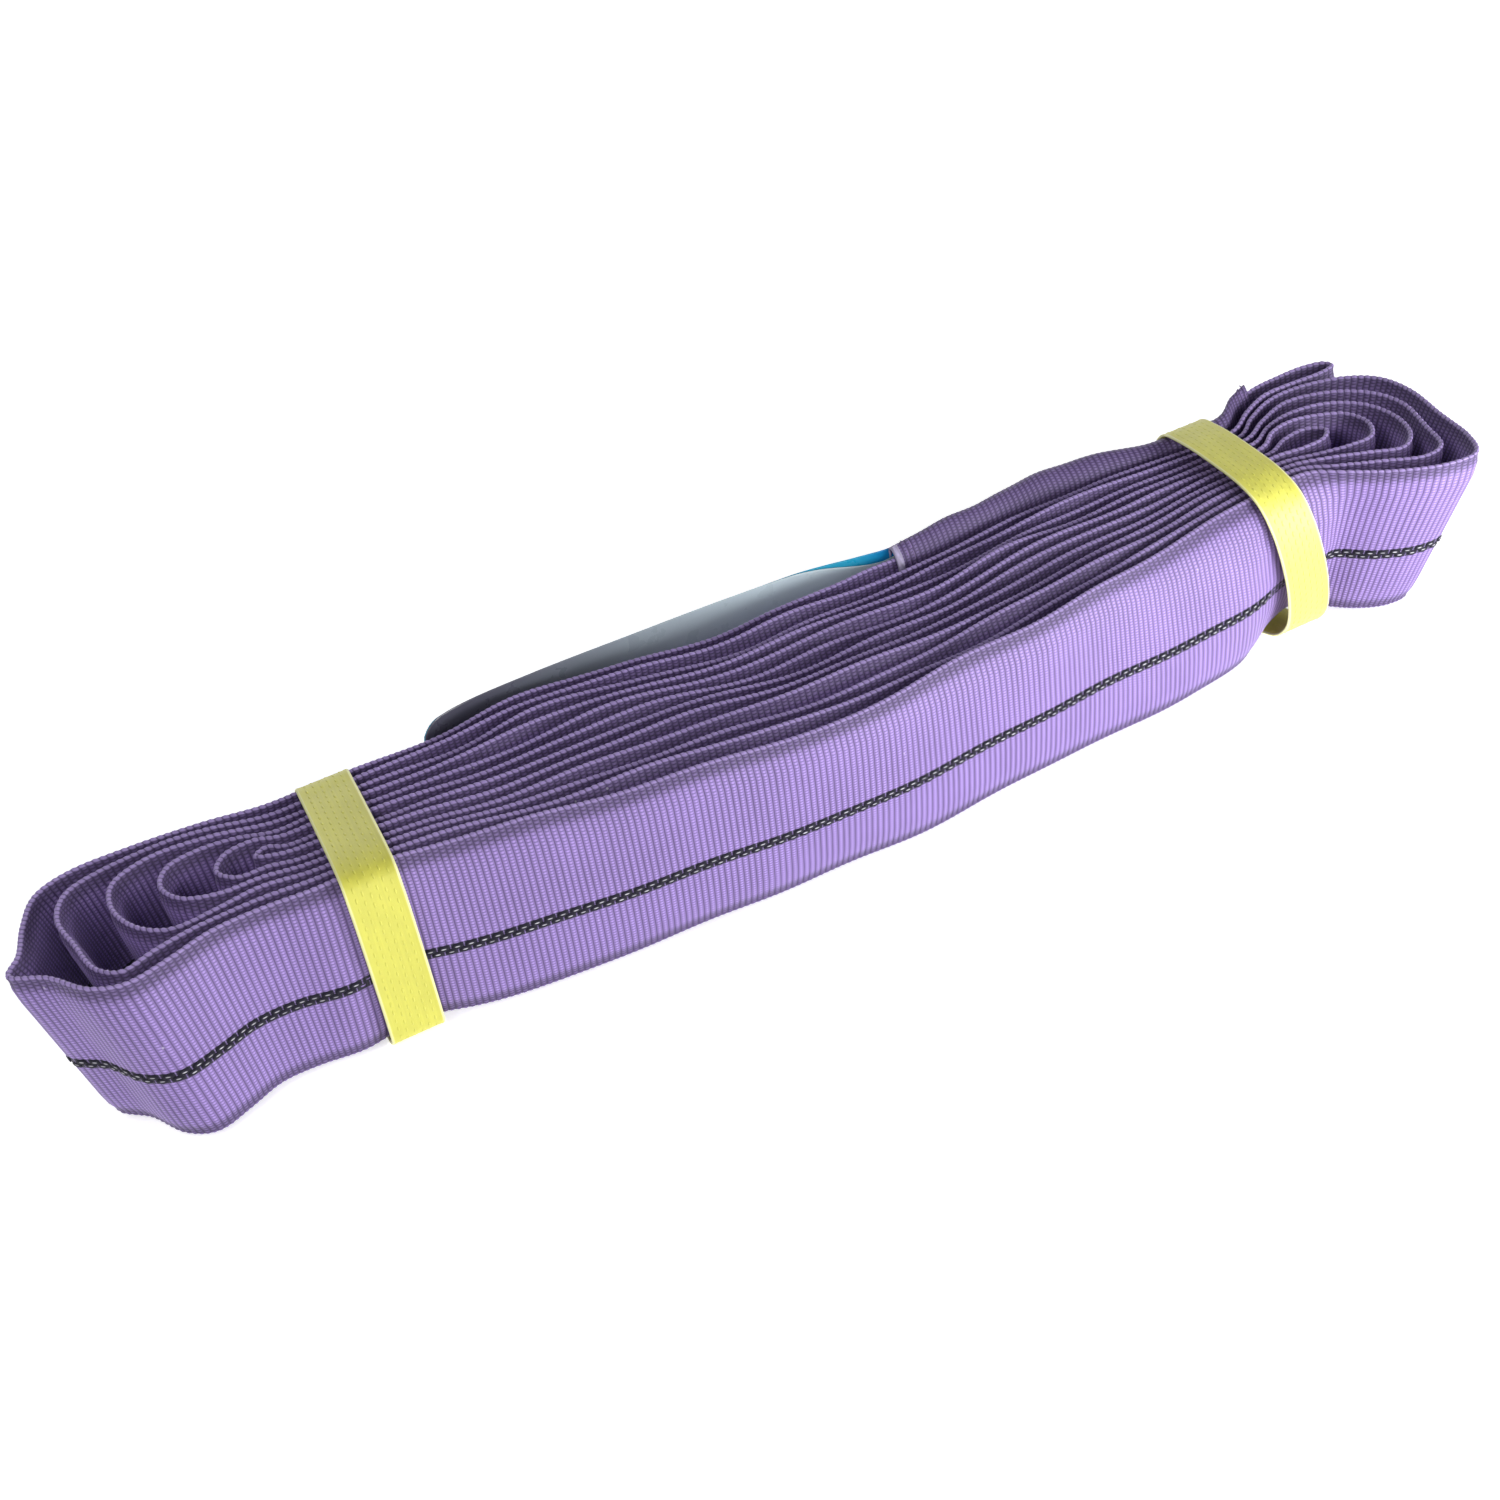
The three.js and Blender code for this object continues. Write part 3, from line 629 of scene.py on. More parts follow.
    # marker stripe: two staggered rows of dark floats, each over one rib and under the next
    off_marker = nodes.new("ShaderNodeMath")
    off_marker.label = "from the marker's middle"
    off_marker.operation = "SUBTRACT"
    off_marker.inputs[1].default_value = MARKER_HEIGHT * MM
    links.new(split.outputs["Y"], off_marker.inputs[0])
    off_size = nodes.new("ShaderNodeMath")
    off_size.label = "either side of it"
    off_size.operation = "ABSOLUTE"
    links.new(off_marker.outputs[0], off_size.inputs[0])
    upper_row = nodes.new("ShaderNodeMath")
    upper_row.label = "upper row or lower"
    upper_row.operation = "GREATER_THAN"
    upper_row.inputs[1].default_value = 0.0
    links.new(off_marker.outputs[0], upper_row.inputs[0])
    pairs = nodes.new("ShaderNodeMath")
    pairs.label = "pairs of ribs passed"
    pairs.operation = "MULTIPLY_ADD"
    pairs.inputs[1].default_value = 0.5
    pairs.inputs[2].default_value = 0.75
    links.new(ribs.outputs[0], pairs.inputs[0])
    stagger = nodes.new("ShaderNodeMath")
    stagger.label = "stagger of the two rows"
    stagger.operation = "MULTIPLY_ADD"
    stagger.inputs[1].default_value = -0.5
    links.new(upper_row.outputs[0], stagger.inputs[0])
    links.new(pairs.outputs[0], stagger.inputs[2])
    link_fold = nodes.new("ShaderNodeMath")
    link_fold.label = "distance from a link's end"
    link_fold.operation = "PINGPONG"
    link_fold.inputs[1].default_value = 0.5
    links.new(stagger.outputs[0], link_fold.inputs[0])
    link_along = nodes.new("ShaderNodeMapRange")
    link_along.label = "millimetres along from a link's middle"
    link_along.clamp = False
    link_along.inputs["From Min"].default_value = 0.5
    link_along.inputs["From Max"].default_value = 0.0
    link_along.inputs["To Max"].default_value = rib_pitch
    links.new(link_fold.outputs[0], link_along.inputs["Value"])
    link_across = nodes.new("ShaderNodeMath")
    link_across.label = "millimetres across, from the row"
    link_across.operation = "MULTIPLY_ADD"
    link_across.inputs[1].default_value = 1 / MM
    link_across.inputs[2].default_value = -MARKER_ROW
    links.new(off_size.outputs[0], link_across.inputs[0])
    link_aside = nodes.new("ShaderNodeMath")
    link_aside.label = "either side of the row"
    link_aside.operation = "ABSOLUTE"
    links.new(link_across.outputs[0], link_aside.inputs[0])
    marks = []
    for label, length, width in (("dark link", LINK_LENGTH, LINK_WIDTH),
                                 ("slit in it", SLIT_LENGTH, SLIT_WIDTH)):
        scaled_along = nodes.new("ShaderNodeMath")
        scaled_along.label = label + ", along"
        scaled_along.operation = "DIVIDE"
        scaled_along.inputs[1].default_value = length / 2
        links.new(link_along.outputs[0], scaled_along.inputs[0])
        scaled_across = nodes.new("ShaderNodeMath")
        scaled_across.label = label + ", across"
        scaled_across.operation = "DIVIDE"
        scaled_across.inputs[1].default_value = width / 2
        links.new(link_aside.outputs[0], scaled_across.inputs[0])
        way_out = nodes.new("ShaderNodeMath")
        way_out.label = label + ", way out"
        way_out.operation = "SMOOTH_MAX"
        way_out.inputs[2].default_value = 0.3
        links.new(scaled_along.outputs[0], way_out.inputs[0])
        links.new(scaled_across.outputs[0], way_out.inputs[1])
        mark = nodes.new("ShaderNodeMapRange")
        mark.label = label
        mark.interpolation_type = "SMOOTHSTEP"
        mark.inputs["From Min"].default_value = 0.9
        mark.inputs["From Max"].default_value = 1.15
        mark.inputs["To Min"].default_value = 1.0
        mark.inputs["To Max"].default_value = 0.0
        links.new(way_out.outputs[0], mark.inputs["Value"])
        marks.append((scaled_along, scaled_across, way_out, mark))
    slit_share = nodes.new("ShaderNodeMath")
    slit_share.label = "slit stays a quarter dark"
    slit_share.operation = "MULTIPLY"
    slit_share.inputs[1].default_value = 0.75
    links.new(marks[1][3].outputs[0], slit_share.inputs[0])
    unslit = nodes.new("ShaderNodeMath")
    unslit.label = "link without its slit"
    unslit.operation = "SUBTRACT"
    unslit.use_clamp = True
    links.new(marks[0][3].outputs[0], unslit.inputs[0])
    links.new(slit_share.outputs[0], unslit.inputs[1])
    in_link = nodes.new("ShaderNodeMath")
    in_link.label = "marker, where it is woven in"
    in_link.operation = "MULTIPLY"
    in_link.inputs[1].default_value = marker
    links.new(unslit.outputs[0], in_link.inputs[0])

    # colour: mottled violet, with painted shade in the grooves, the thread gaps and near the folds, dark
    # dots, painted highlights on the rib crowns and the fold tips, lint on top
    mottle = nodes.new("ShaderNodeTexNoise")
    mottle.label = "uneven dye"
    mottle.inputs["Scale"].default_value = 55.0
    mottle.inputs["Detail"].default_value = 3.0
    links.new(place.outputs["UV"], mottle.inputs["Vector"])
    streak_place = nodes.new("ShaderNodeMapping")
    streak_place.label = "stretch across the ribs"
    streak_place.inputs["Scale"].default_value = (900.0, 40.0, 1.0)
    links.new(place.outputs["UV"], streak_place.inputs["Vector"])
    streaks = nodes.new("ShaderNodeTexNoise")
    streaks.label = "lighter and darker ribs"
    streaks.inputs["Scale"].default_value = 1.0
    streaks.inputs["Detail"].default_value = 2.0
    links.new(streak_place.outputs[0], streaks.inputs["Vector"])
    shades = nodes.new("ShaderNodeMath")
    shades.label = "dye and ribs together"
    shades.operation = "ADD"
    links.new(mottle.outputs["Fac"], shades.inputs[0])
    links.new(streaks.outputs["Fac"], shades.inputs[1])
    dye = nodes.new("ShaderNodeMapRange")
    dye.label = "share of the lighter violet"
    dye.inputs["From Min"].default_value = 0.75
    dye.inputs["From Max"].default_value = 1.25
    links.new(shades.outputs[0], dye.inputs["Value"])
    violets = nodes.new("ShaderNodeMix")
    violets.label = "two violets"
    violets.data_type = "RGBA"
    violets.inputs[6].default_value = (*(0.88 * c for c in violet), 1)
    violets.inputs[7].default_value = (*(1.1 * c for c in violet), 1)
    links.new(dye.outputs[0], violets.inputs[0])
    # painted highlight on the crown of each rib, broken into dots by the thread gaps
    unbroken = nodes.new("ShaderNodeMath")
    unbroken.label = "crown between the thread gaps"
    unbroken.operation = "SUBTRACT"
    unbroken.use_clamp = True
    links.new(crown.outputs[0], unbroken.inputs[0])
    links.new(thread_gap.outputs[0], unbroken.inputs[1])
    painted_crown_highlight = nodes.new("ShaderNodeMath")
    painted_crown_highlight.label = "painted highlight on the rib crowns"
    painted_crown_highlight.operation = "MULTIPLY"
    painted_crown_highlight.inputs[1].default_value = 0.8
    links.new(unbroken.outputs[0], painted_crown_highlight.inputs[0])
    with_crown_highlight = nodes.new("ShaderNodeMix")
    with_crown_highlight.label = "violet with painted crown highlight"
    with_crown_highlight.data_type = "RGBA"
    with_crown_highlight.inputs[7].default_value = (*(min(1.0, 1.5 * c + 0.04) for c in violet), 1)
    links.new(painted_crown_highlight.outputs[0], with_crown_highlight.inputs[0])
    links.new(violets.outputs[2], with_crown_highlight.inputs[6])
    gaps = nodes.new("ShaderNodeMath")
    gaps.label = "faint thread gaps"
    gaps.operation = "MULTIPLY"
    gaps.inputs[1].default_value = 0.42
    links.new(thread_gap.outputs[0], gaps.inputs[0])
    dark_groove = nodes.new("ShaderNodeMath")
    dark_groove.label = "shade in the grooves"
    dark_groove.operation = "MULTIPLY"
    dark_groove.inputs[1].default_value = 0.72
    links.new(groove.outputs[0], dark_groove.inputs[0])
    shade = nodes.new("ShaderNodeMath")
    shade.label = "deeper of the two"
    shade.operation = "MAXIMUM"
    links.new(gaps.outputs[0], shade.inputs[0])
    links.new(dark_groove.outputs[0], shade.inputs[1])
    # painted shade near each fold, where the cloth turns up and away from the light
    painted_fold_shade = nodes.new("ShaderNodeMapRange")
    painted_fold_shade.label = "painted shade near the fold"
    painted_fold_shade.interpolation_type = "SMOOTHSTEP"
    painted_fold_shade.inputs["From Min"].default_value = 0.0018
    painted_fold_shade.inputs["From Max"].default_value = 0.005
    painted_fold_shade.inputs["To Min"].default_value = 0.7 * marker
    painted_fold_shade.inputs["To Max"].default_value = 0.0
    links.new(from_edge.outputs[0], painted_fold_shade.inputs["Value"])
    shade_at_fold = nodes.new("ShaderNodeMath")
    shade_at_fold.label = "with painted shade near the fold"
    shade_at_fold.operation = "ADD"
    shade_at_fold.use_clamp = True
    links.new(shade.outputs[0], shade_at_fold.inputs[0])
    links.new(painted_fold_shade.outputs[0], shade_at_fold.inputs[1])
    all_dark = nodes.new("ShaderNodeMath")
    all_dark.label = "with the dots"
    all_dark.operation = "MAXIMUM"
    links.new(shade_at_fold.outputs[0], all_dark.inputs[0])
    links.new(folded_dots.outputs[0], all_dark.inputs[1])
    # dark violet that the painted shade, the grooves and the dots go to
    grooved = nodes.new("ShaderNodeMix")
    grooved.label = "violet with its grooves"
    grooved.data_type = "RGBA"
    grooved.inputs[7].default_value = (*(0.3 * c for c in violet), 1)
    links.new(all_dark.outputs[0], grooved.inputs[0])
    links.new(with_crown_highlight.outputs[2], grooved.inputs[6])
    # painted highlight along the tip of each fold, weaker in the grooves
    cord = nodes.new("ShaderNodeMapRange")
    cord.label = "painted highlight along the fold"
    cord.interpolation_type = "SMOOTHSTEP"
    cord.inputs["From Min"].default_value = 0.0004
    cord.inputs["From Max"].default_value = 0.0009
    cord.inputs["To Min"].default_value = 0.7 * marker
    cord.inputs["To Max"].default_value = 0.0
    links.new(from_edge.outputs[0], cord.inputs["Value"])
    beads = nodes.new("ShaderNodeMapRange")
    beads.label = "less in the grooves"
    beads.inputs["To Min"].default_value = 1.0
    beads.inputs["To Max"].default_value = 0.25
    links.new(groove.outputs[0], beads.inputs["Value"])
    beaded = nodes.new("ShaderNodeMath")
    beaded.label = "painted fold highlight, on the beads"
    beaded.operation = "MULTIPLY"
    links.new(cord.outputs[0], beaded.inputs[0])
    links.new(beads.outputs[0], beaded.inputs[1])
    with_fold_highlight = nodes.new("ShaderNodeMix")
    with_fold_highlight.label = "with painted highlight on its fold"
    with_fold_highlight.data_type = "RGBA"
    with_fold_highlight.inputs[7].default_value = (*(1.35 * c + 0.1 for c in violet), 1)
    links.new(beaded.outputs[0], with_fold_highlight.inputs[0])
    links.new(grooved.outputs[2], with_fold_highlight.inputs[6])
    specks = nodes.new("ShaderNodeTexVoronoi")
    specks.label = "specks of lint"
    specks.inputs["Scale"].default_value = 90.0
    links.new(place.outputs["UV"], specks.inputs["Vector"])
    lint = nodes.new("ShaderNodeMapRange")
    lint.label = "only the heart of each speck"
    lint.inputs["From Min"].default_value = 0.02
    lint.inputs["From Max"].default_value = 0.035
    lint.inputs["To Min"].default_value = 0.35
    lint.inputs["To Max"].default_value = 0.0
    links.new(specks.outputs["Distance"], lint.inputs["Value"])
    linted = nodes.new("ShaderNodeMix")
    linted.label = "cloth with lint"
    linted.data_type = "RGBA"
    linted.inputs[7].default_value = (0.75, 0.7, 0.85, 1)
    links.new(lint.outputs[0], linted.inputs[0])
    links.new(with_fold_highlight.outputs[2], linted.inputs[6])
    marked = nodes.new("ShaderNodeMix")
    marked.label = "cloth with its marker"
    marked.data_type = "RGBA"
    marked.inputs[7].default_value = (0.018, 0.017, 0.032, 1)
    links.new(in_link.outputs[0], marked.inputs[0])
    links.new(linted.outputs[2], marked.inputs[6])

    # relief: what is dark is also low
    relief = nodes.new("ShaderNodeMath")
    relief.label = "height of the weave"
    relief.operation = "SUBTRACT"
    relief.inputs[0].default_value = 1.0
    links.new(shade.outputs[0], relief.inputs[1])
    rough = nodes.new("ShaderNodeBump")
    rough.label = "ribs and threads"
    rough.inputs["Strength"].default_value = 0.55
    rough.inputs["Distance"].default_value = 0.00018
    links.new(relief.outputs[0], rough.inputs["Height"])

    yarn = nodes.new("ShaderNodeBsdfPrincipled")
    yarn.label = "polyester yarn"
    yarn.inputs["Roughness"].default_value = 0.55
    yarn.inputs["Specular IOR Level"].default_value = 0.35
    yarn.inputs["Sheen Weight"].default_value = 0.25
    yarn.inputs["Sheen Roughness"].default_value = 0.35
    yarn.inputs["Sheen Tint"].default_value = (0.8, 0.72, 1.0, 1)
    links.new(marked.outputs[2], yarn.inputs["Base Color"])
    links.new(rough.outputs[0], yarn.inputs["Normal"])
    surface = nodes.new("ShaderNodeOutputMaterial")
    links.new(yarn.outputs[0], surface.inputs["Surface"])

    frame_groups(nodes, {
        "place on the cloth": (place, split, ribs, threads),
        "ribs": (rib_fold, groove, crown),
        "warp threads": (rib_number, half_step, thread_fold, thread_gap),
        "dots along the fold": (from_top, from_edge, off_row, off_row_size, in_row, dot_width, dots,
                                folded_dots),
        "marker stripe": (off_marker, off_size, upper_row, pairs, stagger, link_fold, link_along,
                          link_across, link_aside, *marks[0], *marks[1], slit_share, unslit, in_link),
        "colour": (mottle, streak_place, streaks, shades, dye, violets, unbroken, painted_crown_highlight, with_crown_highlight),
        "shade": (gaps, dark_groove, shade, painted_fold_shade, shade_at_fold, all_dark, grooved),
        "painted fold highlight, lint and marker": (cord, beads, beaded, with_fold_highlight, specks, lint, linted, marked),
        "relief and shader": (relief, rough, yarn, surface),
    })
    return made


web_cloth = ribbed_cloth("woven_web", VIOLET, marker=1.0)
ribbed_wall = ribbed_wall_tree()


def mend(mesh, merge=0.0, fill=False, turn_outwards=False):
    """Merges points that meet, fills open ends and turns faces outwards, as asked."""
    work = bmesh.new()
    work.from_mesh(mesh)
    if merge:
        bmesh.ops.remove_doubles(work, verts=work.verts, dist=merge)
    if fill:
        made = bmesh.ops.holes_fill(work, edges=[e for e in work.edges if e.is_boundary], sides=0)
        bmesh.ops.triangulate(work, faces=made["faces"])
    if turn_outwards:
        bmesh.ops.recalc_face_normals(work, faces=work.faces)
    work.to_mesh(mesh)
    work.free()


# The sleeve is made in strands, cut where a strap hides the cut
centre_x = cloth_xy[:, centre_row, 0]
hidden = []
for cut_x in (STRAP_X[0] + 3, STRAP_X[1] + 1):
    crossing = np.nonzero((centre_x[:-1] - cut_x) * (centre_x[1:] - cut_x) <= 0)[0]
    hidden += list(crossing)
hidden = sorted(hidden)
cuts = [0]
while (STATION_COUNT - cuts[-1]) * STEP > LONGEST_STRAND:
    reach = cuts[-1] + LONGEST_STRAND / STEP
    cuts.append(max(place for place in hidden if place < reach))
cuts.append(STATION_COUNT)

strands = []
for number, (start, stop) in enumerate(zip(cuts[:-1], cuts[1:]), start=1):
    part = slice(start, stop + 1)
    guide = grid_mesh(f"sleeve_guide_{number}", cloth[part])
    shape = cloth[part].shape[:2]
    upright = np.zeros((*shape, 3))
    upright[..., 2] = rows[:, 3] * ROW_UP
    add_values(guide, "skin", facing[part])
    add_values(guide, "rim", upright)
    add_values(guide, "half", half[part] * MM)
    add_values(guide, "gain", np.broadcast_to(rows[:, 2], shape))
    add_values(guide, "lead", np.broadcast_to(rows[:, 4], shape) * MM)
    add_values(guide, "along", np.broadcast_to(travelled[part, None], shape) * MM)
    add_values(guide, "across", np.broadcast_to(ROW_HEIGHT, shape) * MM)
    strand = grown(f"woven_sleeve_strand_{number}", guide, ribbed_wall, Rib_Pitch=rib_pitch * MM,
                   Rib_Depth=RIB_DEPTH * MM, Cloth=web_cloth)
    mend(strand.data, fill=True)
    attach(strand, "hank")
    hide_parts("woven_sleeve")
    strands.append(strand)


# Marker stripe floats. Dark polyester warp that lies over two ribs and under the next, in two
# staggered rows. They stand proud on the two lengths of sleeve that lie outermost, given here as
# distances along the sleeve from its end and from its start; elsewhere the cloth's pattern serves.
FLOAT_HEIGHT = 0.54
FLOAT_PROUD = 0.02
SHOWN_FROM_END = (1030.0, 70.0)
SHOWN_FROM_START = (70.0, 165.0)
STRAP_CLEAR = 9.5


def laid_beads_tree():
    """Small low mounds laid on guide points, each along its run and flat on its facing."""
    tree = bpy.data.node_groups.new("laid beads", "GeometryNodeTree")
    tree.is_modifier = True
    face = tree.interface
    face.new_socket(name="Guide", in_out="INPUT", socket_type="NodeSocketGeometry")
    face.new_socket(name="Length", in_out="INPUT", socket_type="NodeSocketFloat").default_value = 0.002
    face.new_socket(name="Width", in_out="INPUT", socket_type="NodeSocketFloat").default_value = 0.001
    face.new_socket(name="Height", in_out="INPUT", socket_type="NodeSocketFloat").default_value = 0.0005
    face.new_socket(name="Finish", in_out="INPUT", socket_type="NodeSocketMaterial")
    face.new_socket(name="Beads", in_out="OUTPUT", socket_type="NodeSocketGeometry")
    nodes, links = tree.nodes, tree.links
    entry = nodes.new("NodeGroupInput")
    entry.label = "guide points and sizes"
    ball = nodes.new("GeometryNodeMeshUVSphere")
    ball.label = "one bead"
    ball.inputs["Segments"].default_value = 8
    ball.inputs["Rings"].default_value = 5
    ball.inputs["Radius"].default_value = 0.5
    spot = nodes.new("GeometryNodeInputPosition")
    spot.label = "place on the bead"
    kept = nodes.new("GeometryNodeStoreNamedAttribute")
    kept.label = "keep the place on the bead"
    kept.data_type = "FLOAT_VECTOR"
    kept.domain = "POINT"
    kept.inputs["Name"].default_value = "bead"
    links.new(ball.outputs["Mesh"], kept.inputs["Geometry"])
    links.new(spot.outputs[0], kept.inputs["Value"])
    facing_read = nodes.new("GeometryNodeInputNamedAttribute")
    facing_read.label = "way out of the surface"
    facing_read.data_type = "FLOAT_VECTOR"
    facing_read.inputs["Name"].default_value = "facing"
    run_read = nodes.new("GeometryNodeInputNamedAttribute")
    run_read.label = "way the bead runs"
    run_read.data_type = "FLOAT_VECTOR"
    run_read.inputs["Name"].default_value = "run"
    turned = nodes.new("FunctionNodeAxesToRotation")
    turned.label = "turn the bead"
    turned.primary_axis = "Z"
    turned.secondary_axis = "X"
    links.new(facing_read.outputs[0], turned.inputs["Primary Axis"])
    links.new(run_read.outputs[0], turned.inputs["Secondary Axis"])
    size = nodes.new("ShaderNodeCombineXYZ")
    size.label = "length, width, height"
    links.new(entry.outputs["Length"], size.inputs["X"])
    links.new(entry.outputs["Width"], size.inputs["Y"])
    links.new(entry.outputs["Height"], size.inputs["Z"])
    laid = nodes.new("GeometryNodeInstanceOnPoints")
    laid.label = "lay the beads"
    links.new(entry.outputs["Guide"], laid.inputs["Points"])
    links.new(kept.outputs[0], laid.inputs["Instance"])
    links.new(turned.outputs[0], laid.inputs["Rotation"])
    links.new(size.outputs[0], laid.inputs["Scale"])
    real = nodes.new("GeometryNodeRealizeInstances")
    real.label = "real mesh"
    links.new(laid.outputs[0], real.inputs[0])
    smooth = nodes.new("GeometryNodeSetShadeSmooth")
    smooth.label = "rounded beads"
    links.new(real.outputs[0], smooth.inputs[0])
    finish = nodes.new("GeometryNodeSetMaterial")
    finish.label = "finish"
    links.new(smooth.outputs[0], finish.inputs[0])
    links.new(entry.outputs["Finish"], finish.inputs["Material"])
    leave = nodes.new("NodeGroupOutput")
    links.new(finish.outputs[0], leave.inputs[0])
    for step, node in enumerate((spot, ball, kept, facing_read, run_read, turned, size, laid, real, smooth,
                                 finish, leave)):
        node.location = (step * 190, 0)
    return tree


def dark_float_material():
    """Glossy black warp with a lighter slit in the middle of each float."""
    made, nodes, links = blank_material("marker_thread", (0.02, 0.02, 0.035))
    spot = nodes.new("ShaderNodeAttribute")
    spot.label = "place on the float"
    spot.attribute_name = "bead"
    axes = nodes.new("ShaderNodeSeparateXYZ")
    axes.label = "along, across"
    links.new(spot.outputs["Vector"], axes.inputs[0])
    far_along = nodes.new("ShaderNodeMath")
    far_along.label = "along, in slit lengths"
    far_along.operation = "MULTIPLY"
    far_along.inputs[1].default_value = 2 * LINK_LENGTH / SLIT_LENGTH
    links.new(axes.outputs["X"], far_along.inputs[0])
    far_across = nodes.new("ShaderNodeMath")
    far_across.label = "across, in slit widths"
    far_across.operation = "MULTIPLY"
    far_across.inputs[1].default_value = 2 * LINK_WIDTH / SLIT_WIDTH
    links.new(axes.outputs["Y"], far_across.inputs[0])
    both = nodes.new("ShaderNodeCombineXYZ")
    both.label = "both ways"
    links.new(far_along.outputs[0], both.inputs["X"])
    links.new(far_across.outputs[0], both.inputs["Y"])
    away = nodes.new("ShaderNodeVectorMath")
    away.label = "way out from the slit"
    away.operation = "LENGTH"
    links.new(both.outputs[0], away.inputs[0])
    slit = nodes.new("ShaderNodeMapRange")
    slit.label = "slit"
    slit.interpolation_type = "SMOOTHSTEP"
    slit.inputs["From Min"].default_value = 0.6
    slit.inputs["From Max"].default_value = 1.3
    slit.inputs["To Min"].default_value = 1.0
    slit.inputs["To Max"].default_value = 0.0
    links.new(away.outputs["Value"], slit.inputs["Value"])
    body = nodes.new("ShaderNodeTexCoord")
    body.label = "place in the hank"
    patchy = nodes.new("ShaderNodeTexNoise")
    patchy.label = "some slits fuller than others"
    patchy.inputs["Scale"].default_value = 240.0
    links.new(body.outputs["Object"], patchy.inputs["Vector"])
    amount = nodes.new("ShaderNodeMath")
    amount.label = "slit, more or less"
    amount.operation = "MULTIPLY"
    links.new(slit.outputs[0], amount.inputs[0])
    links.new(patchy.outputs["Fac"], amount.inputs[1])
    tone = nodes.new("ShaderNodeMix")
    tone.label = "black thread and pale slit"
    tone.data_type = "RGBA"
    tone.inputs[6].default_value = (0.014, 0.013, 0.024, 1)
    tone.inputs[7].default_value = (0.8, 0.78, 0.86, 1)
    links.new(amount.outputs[0], tone.inputs[0])
    strands_over = nodes.new("ShaderNodeTexWave")
    strands_over.label = "filaments along the float"
    strands_over.bands_direction = "Y"
    strands_over.inputs["Scale"].default_value = 2.2
    links.new(spot.outputs["Vector"], strands_over.inputs["Vector"])
    lines = nodes.new("ShaderNodeBump")
    lines.label = "filaments"
    lines.inputs["Strength"].default_value = 0.4
    lines.inputs["Distance"].default_value = 0.0001
    links.new(strands_over.outputs["Fac"], lines.inputs["Height"])
    thread = nodes.new("ShaderNodeBsdfPrincipled")
    thread.label = "black polyester"
    thread.inputs["Roughness"].default_value = 0.6
    thread.inputs["Specular IOR Level"].default_value = 0.2
    links.new(tone.outputs[2], thread.inputs["Base Color"])
    links.new(lines.outputs[0], thread.inputs["Normal"])
    surface = nodes.new("ShaderNodeOutputMaterial")
    links.new(thread.outputs[0], surface.inputs["Surface"])
    frame_groups(nodes, {
        "pale slit": (spot, axes, far_along, far_across, both, away, slit, body, patchy, amount, tone),
        "filaments": (strands_over, lines),
        "shader": (thread, surface),
    })
    return made


def bead_points(name, places, facings, runs):
    """Guide points for beads, with the way each looks and the way it runs."""
    mesh = bpy.data.meshes.new(name)
    mesh.vertices.add(len(places))
    mesh.vertices.foreach_set("co", (np.array(places) * MM).astype(np.float32).ravel())
    add_values(mesh, "facing", np.array(facings, float))
    add_values(mesh, "run", np.array(runs, float))
    return mesh


def on_cloth(along, height, proud):
    """A place on the sleeve's outer face, with the way it faces and the way it runs."""
    row = int(np.searchsorted(ROW_HEIGHT, height)) - 1
    share = (height - ROW_HEIGHT[row]) / (ROW_HEIGHT[row + 1] - ROW_HEIGHT[row])
    line = mix(cloth[:, row], cloth[:, row + 1], share)
    thick = mix(half[:, row], half[:, row + 1], share)
    place = np.array([np.interp(along, travelled, line[:, k]) for k in range(3)])
    outwards = np.array([np.interp(along, travelled, facing[:, row, k]) for k in range(3)])
    place = place + outwards * (np.interp(along, travelled, thick) + proud)
    return place, outwards, np.cross(outwards, (0, 0, 1))


laid_beads = laid_beads_tree()
float_places, float_facings, float_runs = [], [], []
for number in range(int(ROUND_LENGTH / rib_pitch)):
    along_here = (number + 0.5) * rib_pitch - FACE_LEAD
    from_end = ROUND_LENGTH - along_here
    late = SHOWN_FROM_END[1] < from_end < SHOWN_FROM_END[0]
    early = SHOWN_FROM_START[0] < along_here < SHOWN_FROM_START[1]
    row = 1 if number % 2 == 0 else -1
    if not (late or early):
        continue
    place, outwards, run = on_cloth(along_here, MARKER_HEIGHT + row * MARKER_ROW, FLOAT_PROUD)
    if min(abs(place[0] - x) for x in STRAP_X) < STRAP_CLEAR:
        continue
    float_places.append(place)
    float_facings.append(outwards)
    float_runs.append(run)
float_points = bead_points("float_points", float_places, float_facings, float_runs)
marker_floats = grown("marker_stripe_floats", float_points, laid_beads, Length=LINK_LENGTH * MM,
                      Width=LINK_WIDTH * MM, Height=FLOAT_HEIGHT * MM, Finish=dark_float_material())
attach(marker_floats, "hank")


